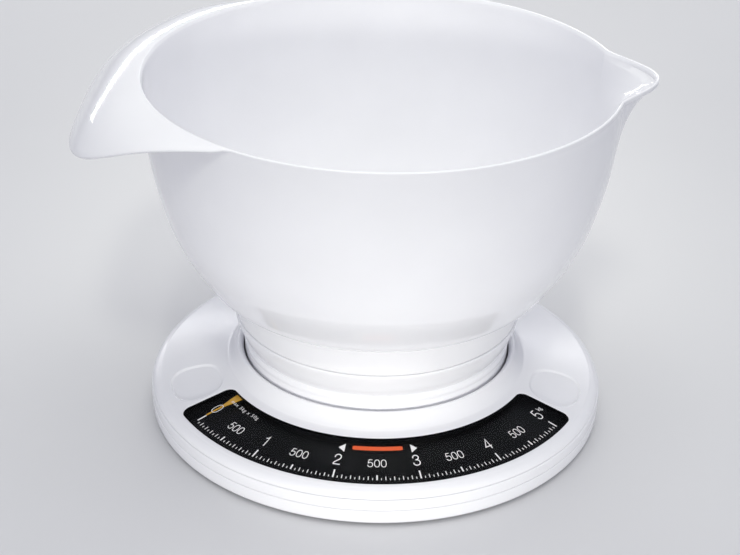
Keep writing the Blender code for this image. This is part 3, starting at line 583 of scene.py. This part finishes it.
def make_window_lens():
    """Clear strip almost flush in the window, its top edge rounded."""
    half = math.radians(WINDOW_HALF_DEG) - 1e-5
    ends = [0.0, 0.06, 0.16, 0.3, 0.5, 0.8, 1.2, 1.7, 2.3, 3.0, 3.8, 4.7]
    start = [half - d / 95.0 for d in ends]
    middle = list(np.linspace(start[-1], -start[-1], 150)[1:-1])
    thetas = start + middle + [-t for t in reversed(start)]
    insets = [0.0, 0.03, 0.08, 0.15, 0.25, 0.8]
    band = insets[-1]
    sections = []
    for theta in thetas:
        low, high = window_limits(theta)
        span = high - low
        rows = [low + min(d, span * 0.4) for d in insets]
        if span > 4:
            rows += [low + band + (span - 2.0 * band) * t for t in (0.2, 0.4, 0.6, 0.8)]
        else:
            rows += [low + span * t for t in (0.42, 0.47, 0.53, 0.58)]
        rows += [high - min(d, span * 0.4) for d in reversed(insets)]
        top = []
        for r in rows:
            d = edge_distance(r * math.cos(theta), r * math.sin(theta))
            away = LENS_EDGE_R - min(d, LENS_EDGE_R)
            fall = LENS_EDGE_R - math.sqrt(max(LENS_EDGE_R ** 2 - away ** 2, 0.0))
            top.append(polar(r, math.degrees(theta) + FRONT_DEG, cone_z(r) - LENS_DROP - fall))
        bottom = []
        for r in (high, low):
            bottom.append(polar(r, math.degrees(theta) + FRONT_DEG, cone_z(r) - LENS_DROP - LENS_WALL))
        sections.append(top + bottom)
    lens = loft("window_lens", sections, False, 40.0)
    finish_piece(lens, "dial_ring", "lens", LENS_CLEAR, "dial_lens")


def make_window_border():
    """Black border round the strip's edge, down to the underside of the cover."""
    rings = [window_ring(grow, drop) for grow, drop in
             ((0.09, 0.12), (0.01, 0.12), (0.01, 1.5), (0.09, 1.5))]
    sections = [list(points) for points in zip(*rings)]
    border = loft("window_border", sections, True)
    finish_piece(border, "dial_ring", "dial_black", DIAL_BLACK)


def make_dial_disc():
    top = [(71.4, 19.6), (79.9, 21.2), (108.2, cone_z(108.2) - 4.6)]
    profile = top + [(r, z - 0.9) for r, z in reversed(top)]
    disc = plain_ring("dial_disc", rounded(profile, 0.2, 2), 2.0)
    for deg in (30.0, 90.0, 150.0):
        x, y = polar(DIAL_SCREW_R, deg)[:2]
        disc = cut(disc, upright("hole", x, y, 1.4, 15.0, 23.0, 24))
    finish_piece(disc, "dial_ring", "dial_black", DIAL_BLACK, "dial_plate")


def on_dial(r, deg, lift):
    """Point at this height over the window strip's top."""
    return polar(r, deg, cone_z(r) - LENS_DROP + lift)


def bar_on_dial(verts, faces, deg, r0, r1, width):
    """Thin printed bar along a radius, width in millimetres."""
    first = len(verts)
    for lift in (PRINT_LIFT, PRINT_LIFT + PRINT_THICK):
        for r, side in ((r0, -1), (r0, 1), (r1, 1), (r1, -1)):
            verts.append(on_dial(r, deg + side * math.degrees(width / 2.0 / r), lift))
    faces += [tuple(range(first, first + 4)), tuple(range(first + 4, first + 8))]
    for i in range(4):
        j = (i + 1) % 4
        faces.append((first + i, first + j, first + 4 + j, first + 4 + i))


def make_ticks():
    """Longer line at zero, then a tick every 50 g: long at kilos, shorter at halves and tenths."""
    verts, faces = [], []
    bar_on_dial(verts, faces, ZERO_DEG, 99.6, 104.4, 0.75)
    for k in range(1, 101):
        inner, width = next((r, w) for every, r, w in TICK_KINDS if k % every == 0)
        bar_on_dial(verts, faces, ZERO_DEG + KG_DEG * k * TICK_KG, inner, TICK_OUT_R, width)
    ticks = mesh_object("scale_ticks", verts, faces)
    finish_piece(ticks, "dial_ring", "lens", INK_WHITE)


def text_outline(body, thin, spacing):
    """Flat mesh of text at font size 1; thin shrinks or grows its strokes."""
    curve = bpy.data.curves.new("text", "FONT")
    curve.body = body
    curve.size = 1.0
    curve.align_x = "CENTER"
    curve.offset = thin
    curve.space_character = spacing
    curve.resolution_u = 8
    obj = bpy.data.objects.new("text", curve)
    scene.collection.objects.link(obj)
    graph = bpy.context.evaluated_depsgraph_get()
    mesh = bpy.data.meshes.new_from_object(obj.evaluated_get(graph))
    bm = bmesh.new()
    bm.from_mesh(mesh)
    bmesh.ops.remove_doubles(bm, verts=bm.verts, dist=1e-5)
    verts = [tuple(v.co[:2]) for v in bm.verts]
    faces = [[v.index for v in f.verts] for f in bm.faces]
    bm.free()
    bpy.data.objects.remove(obj, do_unlink=True)
    bpy.data.meshes.remove(mesh)
    return verts, faces


def text_on_dial(verts, faces, body, deg, r_low, height, stretch=1.0, thin=0.0, spacing=1.0):
    """Text upright along the radius; r_low is its outer (lower) edge, height its cap height."""
    flat, tris = text_outline(body, thin, spacing)
    scale = height / FONT_CAP
    first = len(verts)
    for lift in (PRINT_LIFT, PRINT_LIFT + PRINT_THICK):
        for x, y in flat:
            r = r_low - y * scale
            verts.append(on_dial(r, deg + math.degrees(x * scale * stretch / (r_low - height / 2)), lift))
    count = len(flat)
    edges = {}
    for tri in tris:
        faces.append([first + i for i in reversed(tri)])
        faces.append([first + count + i for i in tri])
        for i in range(len(tri)):
            key = (tri[i], tri[(i + 1) % len(tri)])
            edges[key] = edges.get(key, 0) + 1
    for a, b in edges:
        if (b, a) not in edges:
            faces.append([first + a, first + b, first + count + b, first + count + a])


# Pen strokes of the numerals, one unit high; "C" runs are smooth, "L" runs have corners.
STROKES = {
    "0": (("O", ((0.27, 1.0), (0.43, 0.93), (0.52, 0.72), (0.54, 0.5), (0.52, 0.28), (0.43, 0.07),
                 (0.27, 0.0), (0.11, 0.07), (0.02, 0.28), (0.0, 0.5), (0.02, 0.72), (0.11, 0.93))),),
    "1": (("L", ((0.1, 0.76), (0.25, 0.82), (0.34, 1.0), (0.34, 0.0))),),
    "2": (("C", ((0.03, 0.68), (0.08, 0.9), (0.27, 1.0), (0.45, 0.92), (0.51, 0.73), (0.42, 0.53),
                 (0.22, 0.34), (0.06, 0.17), (0.01, 0.0))), ("L", ((0.01, 0.0), (0.53, 0.0)))),
    "3": (("C", ((0.03, 0.73), (0.09, 0.92), (0.26, 1.0), (0.43, 0.93), (0.48, 0.77), (0.4, 0.6),
                 (0.2, 0.54))),
          ("C", ((0.2, 0.54), (0.42, 0.49), (0.52, 0.28), (0.44, 0.07), (0.26, 0.0), (0.08, 0.07),
                 (0.01, 0.27)))),
    "4": (("L", ((0.42, 0.0), (0.42, 1.0), (0.0, 0.27), (0.56, 0.27))),),
    "5": (("L", ((0.48, 1.0), (0.12, 1.0), (0.04, 0.49))),
          ("C", ((0.04, 0.49), (0.15, 0.6), (0.3, 0.63), (0.47, 0.54), (0.53, 0.32), (0.45, 0.09),
                 (0.26, 0.0), (0.08, 0.07), (0.0, 0.25)))),
}
NUMERAL_WIDTH = 0.54
NUMERAL_STEP = 0.72


def pen_edges(points, width, closed):
    """Left and right edge of a pen stroke along the points, corners mitred."""
    count = len(points)
    left, right = [], []
    for i in range(count):
        before = points[i - 1] if i or closed else points[i]
        after = points[(i + 1) % count] if i + 1 < count or closed else points[i]
        here = np.array(points[i], float)
        a = here - np.array(before, float)
        b = np.array(after, float) - here
        a = a / np.linalg.norm(a) if np.linalg.norm(a) > 1e-9 else b / np.linalg.norm(b)
        b = b / np.linalg.norm(b) if np.linalg.norm(b) > 1e-9 else a
        middle = a + b
        middle = middle / max(np.linalg.norm(middle), 0.3)
        across = np.array((-middle[1], middle[0]))
        reach = 0.5 * width / max(abs(float(np.dot(middle, a))), 0.5)
        left.append(tuple(here + across * reach))
        right.append(tuple(here - across * reach))
    return left, right


def numeral_on_dial(verts, faces, body, deg, r_low, height, line):
    """Numerals drawn with a pen of the given line, upright along the radius."""
    tall = height - line
    r_mid = r_low - height / 2.0
    start = -0.5 * (NUMERAL_STEP * (len(body) - 1) + NUMERAL_WIDTH)
    for place, letter in enumerate(body):
        for kind, run in STROKES[letter]:
            closed = kind == "O"
            points = list(run)
            if kind == "C":
                points = smooth_run(points, 4)
            elif closed:
                points = smooth_run(points[-2:] + points + points[:2], 4)[8:-8]
            left, right = pen_edges(points, line / tall, closed)
            count = len(points)
            first = len(verts)
            for lift in (PRINT_LIFT, PRINT_LIFT + PRINT_THICK):
                for side in (left, right):
                    for x, y in side:
                        across = (start + place * NUMERAL_STEP + x) * tall
                        verts.append(on_dial(r_low - line / 2.0 - y * tall,
                                             deg + math.degrees(across / r_mid), lift))
            for i in range(count if closed else count - 1):
                j = (i + 1) % count
                for a, b in ((0, 1), (1, 3), (3, 2), (2, 0)):
                    a0, b0 = first + a * count, first + b * count
                    faces.append((a0 + i, a0 + j, b0 + j, b0 + i))
            if not closed:
                for i in (0, count - 1):
                    faces.append(tuple(first + k * count + i for k in (0, 1, 3, 2)))


def oval_on_dial(verts, faces, deg, r_mid, half_long, half_wide, line):
    """Printed ring, longer along the radius."""
    steps = 48
    rings = []
    for lift in (PRINT_LIFT, PRINT_LIFT + PRINT_THICK):
        for grow in (-line / 2.0, line / 2.0):
            ring = []
            for i in range(steps):
                t = 2.0 * math.pi * i / steps
                c, s = math.cos(t), math.sin(t)
                c = math.copysign(abs(c) ** 0.85, c)
                s = math.copysign(abs(s) ** 0.85, s)
                r = r_mid + (half_long + grow) * c
                side = math.degrees((half_wide + grow) * s / r_mid)
                ring.append(len(verts))
                verts.append(on_dial(r, deg + side, lift))
            rings.append(ring)
    order = (0, 1, 3, 2)
    for k in range(4):
        a, b = rings[order[k]], rings[order[(k + 1) % 4]]
        for i in range(steps):
            j = (i + 1) % steps
            faces.append((a[i], a[j], b[j], b[i]))


def make_numbers():
    verts, faces = [], []
    oval_on_dial(verts, faces, -145.4, 93.1, 3.05, 1.75, 0.36)
    for kg in range(1, 6):
        numeral_on_dial(verts, faces, str(kg), ZERO_DEG + KG_DEG * kg, NUMERAL_LOW_R, 6.6, 0.52)
    for half in range(5):
        deg = ZERO_DEG + KG_DEG * (half + 0.5)
        numeral_on_dial(verts, faces, "500", deg, NUMERAL_LOW_R, 4.7, 0.37)
    text_on_dial(verts, faces, "kg", ZERO_DEG + KG_DEG * 5 + 2.9, 94.0, 2.6, stretch=0.85)
    text_on_dial(verts, faces, "max 5kg x 50g", -138.15, 85.8, 2.05, stretch=1.02, thin=-0.006,
                 spacing=1.22)
    numbers = mesh_object("scale_numbers", verts, faces)
    finish_piece(numbers, "dial_ring", "lens", INK_WHITE)


def prism_on_dial(name, corners, look):
    """Flat printed shape over (r, deg) corners."""
    verts = [on_dial(r, deg, PRINT_LIFT) for r, deg in corners]
    verts += [on_dial(r, deg, PRINT_LIFT + PRINT_THICK) for r, deg in corners]
    count = len(corners)
    faces = [tuple(reversed(range(count))), tuple(range(count, 2 * count))]
    for i in range(count):
        j = (i + 1) % count
        faces.append((i, j, count + j, count + i))
    return finish_piece(mesh_object(name, verts, faces), "dial_ring", "lens", look)


def make_dial_marks():
    """Two arrows and the plain bar between them, its ends narrowed a little."""
    prism_on_dial("scale_arrow_left", [(87.0, -100.9), (84.3, -98.9), (89.4, -98.9)], INK_WHITE)
    prism_on_dial("scale_arrow_right", [(87.0, -76.4), (89.4, -78.35), (84.3, -78.35)], INK_WHITE)
    first, last = -96.6, -80.9
    low_r, high_r = 85.1, 87.5
    steps = 24
    verts, faces = [], []
    for i in range(steps + 1):
        deg = first + (last - first) * i / steps
        inset = 0.25 if i in (0, steps) else 0.0
        for lift in (PRINT_LIFT, PRINT_LIFT + PRINT_THICK):
            for r in (low_r + inset, high_r - inset):
                verts.append(on_dial(r, deg, lift))
    for i in range(steps):
        a, b = 4 * i, 4 * i + 4
        faces += [(a, a + 1, b + 1, b), (a + 2, b + 2, b + 3, a + 3)]
        faces += [(a, b, b + 2, a + 2), (a + 1, a + 3, b + 3, b + 1)]
    faces += [(0, 2, 3, 1), (4 * steps, 4 * steps + 1, 4 * steps + 3, 4 * steps + 2)]
    finish_piece(mesh_object("scale_bar", verts, faces), "dial_ring", "lens", INK_RED)


def make_pointer():
    """Stamped arm: cranked under the drum's skirt, broad blade, shoulder, then a fine needle."""
    shape = [
        (7.3, 27.2, 2.4), (14.0, 27.2, 2.2), (30.0, 27.2, 2.05), (49.0, 27.2, 1.9),
        (51.0, 26.7, 1.9), (59.5, 21.0, 1.9), (61.5, 20.5, 1.9), (69.0, 20.5, 1.9),
        (71.5, 20.9, 1.95), (76.5, cone_z(76.5) - 2.7, 2.1), (78.5, cone_z(78.5) - 2.3, 2.15),
    ]
    for r, half in ((80.2, 2.15), (82.0, 2.0), (84.0, 1.65), (85.0, 1.35), (86.5, 1.05), (88.0, 0.8),
                    (89.5, 0.46), (91.5, 0.28), (94.0, 0.25), (97.0, 0.22), (98.1, 0.18)):
        shape.append((r, cone_z(r) - LENS_WALL - POINTER_GAP, half))
    angle = math.radians(POINTER_REST_DEG)
    c, s = math.cos(angle), math.sin(angle)
    sections = []
    for r, top, half in shape:
        edge = min(0.12, half * 0.4)
        row = [(-half, top - edge), (-half + edge, top), (half - edge, top), (half, top - edge),
               (half, top - POINTER_THICK), (-half, top - POINTER_THICK)]
        sections.append([(r * c - y * s, r * s + y * c, z) for y, z in row])
    arm = loft("pointer_blade", sections, False, 30.0)
    collar = plain_ring("collar", [(7.1, 26.6), (9.2, 26.6), (9.2, 27.2), (7.1, 27.2)], 7.5)
    arm = cut(arm, collar, "UNION", 30.0)
    finish_piece(arm, "pointer", "pointer_gold", GOLD_PAINT, "pointer_arm")


# ---- base, pan and feet --------------------------------------------------------------------
def make_bottom_pan():
    """Pan under the base: screw pads, screw and foot holes, and two ring grooves below."""
    outer = smooth_run([
        (112.2, 1.5), (113.3, 1.62), (114.1, 2.05), (114.6, 3.0), (114.85, 4.8), (114.95, 6.8),
        (114.95, 8.3), (114.8, 8.85), (114.4, 9.1),
    ], 4)
    profile = [(0.0, 1.5), (40.0, 1.5), (80.0, 1.5), (100.0, 1.5)] + outer
    profile += [(113.0, 9.1), (113.0, 5.4), (112.2, 3.9), (110.4, 3.3), (60.0, 3.3), (0.0, 3.3)]
    pan = knob("bottom_pan_shell", 0.0, 0.0, profile, 192)
    for x, y in four_places(PAN_SCREW_R, 0.0):
        pan = cut(pan, upright("pad", x, y, 4.4, 3.0, 5.0), "UNION")
    for x, y in four_places(PAN_SCREW_R, 0.0):
        pan = cut(pan, upright("recess", x, y, 3.0, 0.5, 3.4))
        pan = cut(pan, upright("hole", x, y, 1.5, 3.0, 6.0))
    for x, y in four_places(FOOT_R, 45.0):
        pan = cut(pan, upright("pocket", x, y, 8.3, 0.5, 2.3))
        pan = cut(pan, upright("hole", x, y, 2.3, 0.5, 4.5))
    for inner_r, step_deg in ((54.0, 2.0), (24.0, 4.0)):
        outline = [(inner_r, 0.9), (inner_r + 2.0, 0.9), (inner_r + 1.6, 1.8), (inner_r + 0.4, 1.8)]
        pan = cut(pan, plain_ring("groove", outline, step_deg))
    finish_piece(steady_normals(pan), "base", "base_plastic", BASE_PLASTIC, "bottom_pan")


def make_base_ring():
    wall = smooth_run([(114.5, 9.22), (114.85, 9.5), (114.95, 10.2), (114.96, 12.6), (114.9, 14.0),
                       (114.7, 14.65), (114.3, 14.95), (113.4, 14.98)], 4)
    rest = [(113.0, 14.9), (113.0, 13.8), (111.2, 13.8), (111.2, 12.3), (113.0, 12.3),
            (113.0, 10.5), (102.2, 10.5), (102.2, 9.22)]
    ring = plain_ring("base_ring_shell", wall + rest, 1.5)
    for x, y in four_places(PAN_SCREW_R, 0.0):
        ring = cut(ring, upright("boss", x, y, 3.0, 5.3, 10.0), "UNION")
    for x, y in four_places(PAN_SCREW_R, 0.0):
        ring = cut(ring, upright("bore", x, y, 1.5, 4.5, 12.0))
    finish_piece(steady_normals(ring), "base", "base_plastic", BASE_PLASTIC, "base_ring")


def make_feet():
    """Rubber feet: pad with a rounded edge and two ring grooves on its face."""
    pad = [(0.0, 0.0), (2.2, 0.0), (2.5, 0.35), (3.0, 0.35), (3.3, 0.0), (4.9, 0.0), (5.2, 0.35),
           (5.7, 0.35), (6.0, 0.0), (7.3, 0.0), (7.7, 0.1), (7.95, 0.4), (8.0, 0.8), (8.0, 1.8),
           (7.8, 2.0), (2.0, 2.0), (2.0, 3.7), (2.9, 3.85), (2.6, 4.7), (1.8, 5.0), (0.0, 5.0)]
    for i, (x, y) in enumerate(four_places(FOOT_R, 45.0)):
        foot = knob("foot_pad_%d" % (i + 1), x, y, pad, 56)
        finish_piece(foot, "base", "foot_rubber", FOOT_RUBBER, "foot_%d" % (i + 1))


def make_pan_screws():
    """Pan-head screws with a crossed recess."""
    profile = [(0.0, 1.7), (1.6, 1.72), (2.3, 1.95), (2.6, 2.4), (2.6, 3.1), (1.1, 3.1), (1.1, 9.4),
               (0.7, 9.8), (0.0, 9.8)]
    for i, (x, y) in enumerate(four_places(PAN_SCREW_R, 0.0)):
        screw = knob("pan_screw_head_%d" % (i + 1), x, y, profile, 32)
        for w, h in ((0.34, 1.5), (1.5, 0.34)):
            flat = [(x - w, y - h), (x + w, y - h), (x + w, y + h), (x - w, y + h)]
            tool = loft("cross", [[(a, b, z) for a, b in flat] for z in (1.0, 2.5)], False)
            screw = cut(screw, tool)
        finish_piece(screw, "base", "screw_steel", SCREW_STEEL, "pan_screw_%d" % (i + 1))


# ---- platform ------------------------------------------------------------------------------
def make_platform():
    profile = [(0.0, 54.8), (40.0, 54.8), (65.2, 54.8), (65.6, 55.0), (66.3, 58.1), (66.6, 58.4),
               (67.6, 58.4), (67.9, 58.1), (68.4, 55.0), (68.7, 54.8), (70.4, 54.8)]
    profile += smooth_run([(70.9, 54.78), (71.25, 54.55), (71.42, 54.1), (71.2, 52.6), (70.2, 49.1),
                           (68.2, 44.4), (66.5, 41.6), (65.9, 40.6)], 4)
    profile += smooth_run([(65.95, 40.35), (66.6, 39.75), (67.05, 38.9), (67.2, 38.0), (67.1, 37.2),
                           (67.02, 36.75), (67.0, 36.5)], 4)
    profile += [(67.0, 31.25), (66.75, 31.0), (65.65, 31.0), (65.4, 31.25), (65.4, 37.2), (64.1, 39.4),
                (64.1, 40.4), (66.2, 45.0), (68.4, 50.0), (68.9, 52.2), (30.0, 52.2), (0.0, 52.2)]
    drum = knob("platform_drum_shell", 0.0, 0.0, profile, 192)
    drum = cut(drum, upright("recess", 0.0, 0.0, 4.0, 54.0, 57.0))
    drum = cut(drum, upright("hole", 0.0, 0.0, 1.8, 50.0, 57.0))
    finish_piece(steady_normals(drum), "platform", "platform_plastic", DRUM_PLASTIC,
                 "platform_drum")


# ---- bowl ----------------------------------------------------------------------------------
OUTER_WALL = (
    (71.6, 70.3), (72.0, 70.9), (73.6, 71.2), (76.5, 71.9), (81.0, 74.0), (85.5, 78.0),
    (91.7, 87.0), (97.7, 97.0), (103.0, 109.0), (107.0, 122.5), (110.4, 137.5), (112.8, 155.0),
    (114.3, 172.0), (114.6, 178.0),
)
WALL_FINE = smooth_run(OUTER_WALL, 5)
INNER_FINE = [(r - BOWL_WALL, z) for r, z in WALL_FINE if 86.5 < z < 177.0]
WING_END_DEG = 80.0
WING_FADE_DEG = 15.0


def wing_extent(deg):
    """How far the wing's edge stands out from the rim, and how far it drops."""
    phi = abs(side_angle(deg, 180.0))
    if phi > WING_END_DEG:
        return PLAIN_REACH, PLAIN_DROP
    c = abs(math.cos(math.radians(phi))) / WING_REACH
    s = abs(math.sin(math.radians(phi))) / WING_HALF_WIDTH
    reach = (c ** WING_POWER + s ** WING_POWER) ** (-1.0 / WING_POWER)
    soft = 2.0 * math.log(1.0 + math.exp((reach - BOWL_RIM_R) / 2.0))
    drop = 0.38 + 23.94 / (1.0 + math.exp((phi - 33.1) / 5.556))
    fade = min(max((WING_END_DEG - phi) / WING_FADE_DEG, 0.0), 1.0)
    return PLAIN_REACH + soft, PLAIN_DROP + (drop - PLAIN_DROP) * fade


def spout_push(deg, z):
    """How far the spout pushes the wall out at this angle and height."""
    off = abs(side_angle(deg, 0.0)) / SPOUT_HALF_DEG
    if off >= 1.0 or z <= SPOUT_LOW_Z:
        return 0.0
    across = 0.55 * math.cos(math.pi * off / 2.0) ** 2 + 0.45 * (1.0 - off ** 1.5)
    rise = ((z - SPOUT_LOW_Z) / (BOWL_RIM_Z - SPOUT_LOW_Z)) ** 2.2
    return SPOUT_LENGTH * across * rise


def bowl_columns():
    """Angles of the bowl's sections, close together across the spout and the wing."""
    half = list(np.arange(0.0, 18.1, 0.5)) + list(np.arange(20.0, 100.0, 2.0))
    half += list(np.arange(100.0, 179.7, 0.625))
    return half + [180.0] + [360.0 - d for d in reversed(half[1:])]


def mixed(a, b, share):
    """Outline between two outlines of as many points."""
    return [tuple(p * (1.0 - share) + q * share for p, q in zip(x, y)) for x, y in zip(a, b)]


def plain_rim():
    """Rim where there is no wing: up the outside, round the edge and in over the top."""
    under = [(114.66 + 0.12 * i / 17.0, 178.3 + 1.45 * i / 17.0) for i in range(18)]
    cap = []
    for i in range(7):
        t = math.radians(-8.0 + 68.0 * i / 6.0)
        cap.append((114.08 + 0.72 * math.cos(t), 179.86 + 0.72 * math.sin(t)))
    x0, z0 = cap[-1]
    over = []
    for i in range(1, 19):
        t = i / 19.0
        over.append((x0 + (RIM_TOP_R - x0) * t, z0 + (BOWL_RIM_Z - z0) * (1.0 - (1.0 - t) ** 2)))
    return under + cap + over


def wing_rim(ext, drop):
    """Wing's underside from the wall outward, its rounded edge, and its top back to the rim."""
    end = math.radians(45.6)
    half_wall = WING_WALL / 2.0

    def over(u):
        side = math.sin(u * end) / math.sin(end)
        fall = (1.0 - math.cos(u * end)) / (1.0 - math.cos(end))
        return np.array((RIM_TOP_R + ext * side, BOWL_RIM_Z - drop * fall))

    def along(u):
        step = over(u + 0.005) - over(u - 0.005)
        return step / np.linalg.norm(step)

    last = 1.0 - 1.02 * half_wall / np.linalg.norm(over(1.0) - over(0.8)) * 0.2
    last = max(last, 0.4)
    under = []
    for i in range(1, 19):
        t = along(last * i / 18.0)
        r, z = over(last * i / 18.0) + WING_WALL * np.array((t[1], -t[0]))
        under.append((max(r, 114.76), z))
    t = along(last)
    inward = np.array((t[1], -t[0]))
    middle = over(last) + half_wall * inward
    cap = []
    for i in range(7):
        a = math.pi * i / 6.0
        cap.append(tuple(middle + half_wall * (math.sin(a) * t + math.cos(a) * inward)))
    top = [tuple(over(last * (1.0 - i / 19.0))) for i in range(1, 19)]
    return under + cap + top


def rim_edge(ext, drop):
    """Plain rim that turns into the wing as the wing stands out further."""
    share = min(max((ext - 1.3) / 4.0, 0.0), 1.0)
    share = share * share * (3.0 - 2.0 * share)
    if share <= 0.0:
        return plain_rim()
    return mixed(plain_rim(), wing_rim(ext, drop), share)


def bowl_section(deg):
    """Closed outline of the bowl at one angle, from under its floor round to its inside."""
    ext, drop = wing_extent(deg)
    lip = spout_push(deg, BOWL_RIM_Z)
    foot = [(0.0, 67.6), (40.0, 67.6), (68.2, 67.6), (68.8, 67.4), (69.0, 66.8), (69.0, 55.8)]
    foot += smooth_run([(69.15, 55.1), (69.5, 54.97), (70.6, 54.97), (70.92, 55.1), (71.0, 55.4)], 2)
    foot += [(71.0, 62.0), (71.0, 69.4), (71.15, 69.9)]
    section = list(foot)
    section += [(r + spout_push(deg, z), z) for r, z in WALL_FINE]
    section += [(r + lip, z) for r, z in rim_edge(ext, drop)]
    section += [(r + lip, BOWL_RIM_Z - drop_in) for r, drop_in in (
        (RIM_TOP_R, 0.0), (113.68, 0.03), (113.56, 0.12), (113.42, 0.3), (113.0, 1.05), (112.82, 1.45),
        (112.7, 1.9), (112.64, 2.5))]
    section += [(r + spout_push(deg, z), z) for r, z in reversed(INNER_FINE)]
    section += smooth_run([(87.6, 83.0), (84.6, 79.2), (80.6, 75.9), (75.6, 72.9), (70.6, 71.1),
                           (65.0, 70.3), (58.0, 70.0)], 4)
    section += [(40.0, 70.0), (0.0, 70.0)]
    return section


def make_bowl():
    sections = [[polar(r, deg, z) for r, z in bowl_section(deg)] for deg in bowl_columns()]
    bowl = turned("bowl_shell", sections, 50.0)
    finish_piece(bowl, "bowl", "bowl_plastic", BOWL_PLASTIC, "bowl")


make_dial_cover()
make_window_lens()
make_window_border()
make_dial_disc()
make_ticks()
make_numbers()
make_dial_marks()
make_pointer()
make_bottom_pan()
make_base_ring()
make_feet()
make_pan_screws()
make_platform()
make_bowl()


# ---- floor, light and camera ---------------------------------------------------------------
def make_floor():
    mesh = bpy.data.meshes.new("floor")
    size, z = 12.0, -0.0002
    mesh.from_pydata([(-size, -size, z), (size, -size, z), (size, size, z), (-size, size, z)], [],
                     [(0, 1, 2, 3)])
    floor = bpy.data.objects.new("floor", mesh)
    scene.collection.objects.link(floor)
    mat, tree, shader, coords = new_material("floor_pale")
    stops = [(0.3, (0.7, 0.7, 0.71)), (0.7, (0.72, 0.72, 0.73))]
    tree.links.new(ramp(tree, noise(tree, coords, 4.0), stops), shader.inputs["Base Color"])
    shader.inputs["Roughness"].default_value = 0.7
    floor.data.materials.append(mat)


def place_light(light, name, place, target, roll=0.0):
    obj = bpy.data.objects.new(name, light)
    scene.collection.objects.link(obj)
    obj.location = place
    aim = (Vector(target) - Vector(place)).to_track_quat("-Z", "Y")
    obj.rotation_euler = (aim.to_matrix() @ Matrix.Rotation(math.radians(roll), 3, "Z")).to_euler()
    return obj


def add_panel(name, place, target, size, power, colour=(1.0, 1.0, 1.0), roll=0.0):
    light = bpy.data.lights.new(name, "AREA")
    light.shape = "RECTANGLE"
    light.size, light.size_y = size
    light.energy = power
    light.color = colour
    return place_light(light, name, place, target, roll)


def add_spot(name, place, target, cone_deg, power, colour=(1.0, 1.0, 1.0)):
    light = bpy.data.lights.new(name, "SPOT")
    light.spot_size = math.radians(cone_deg)
    light.spot_blend = 1.0
    light.shadow_soft_size = 0.12
    light.energy = power
    light.color = colour
    return place_light(light, name, place, target)


def make_lights():
    """Soft fill from all round, a wide panel overhead, keys on the scale and bowl, one strip."""
    world = bpy.data.worlds.new("studio")
    scene.world = world
    world.use_nodes = True
    background = world.node_tree.nodes["Background"]
    background.inputs["Color"].default_value = (0.86, 0.88, 1.0, 1.0)
    background.inputs["Strength"].default_value = 0.54
    soft = [
        add_panel("top", (0.0, 0.0, 1.4), (0, 0, 0.06), (1.0, 1.0), 6.6, (1.0, 1.0, 0.93)),
        add_panel("back", (0.0, 1.1, 1.0), (0, 0, 0.1), (0.8, 0.8), 4.2, (1.0, 1.0, 0.9)),
        add_spot("scale_key", (0.0, -1.4, 0.22), (0, -0.09, 0.03), 15.0, 63.0, (1.0, 0.99, 0.92)),
        add_spot("bowl_key", (0.0, -0.9, 1.2), (0, 0.05, 0.13), 20.0, 24.0, (1.0, 1.0, 0.88)),
    ]
    for obj in soft:
        obj.visible_glossy = False
    strip = add_panel("strip", (-0.67, 1.5, 0.46), (-0.12, 0.0, 0.17), (1.0, 0.05), 2.6, roll=-18.0)
    strip.visible_diffuse = False
    rim_panel = add_panel("rim_panel", (0.45, 1.5, 0.62), (0, 0, 0.17), (0.9, 0.25), 2.2)
    rim_panel.visible_diffuse = False


def make_camera():
    """Camera solved on the photo's circles: the base, the window and the bowl's rim."""
    camera = bpy.data.cameras.new("camera")
    camera.sensor_width = 36.0
    camera.lens = 82.82
    camera.clip_start = 0.05
    camera.clip_end = 20.0
    obj = bpy.data.objects.new("camera", camera)
    scene.collection.objects.link(obj)
    yaw, pitch, roll = -0.0051585, 0.4993506, 0.0214032
    forward = Vector((math.sin(yaw) * math.cos(pitch), math.cos(yaw) * math.cos(pitch), -math.sin(pitch)))
    right = Vector((math.cos(yaw), -math.sin(yaw), 0.0))
    up = right.cross(forward)
    r2 = math.cos(roll) * right + math.sin(roll) * up
    u2 = -math.sin(roll) * right + math.cos(roll) * up
    turn = Matrix((r2, u2, -forward)).transposed().to_4x4()
    turn.translation = (0.0, -0.75084, 0.47849)
    obj.matrix_world = turn
    scene.camera = obj


make_floor()
make_lights()
make_camera()
scene.view_settings.view_transform = "Standard"
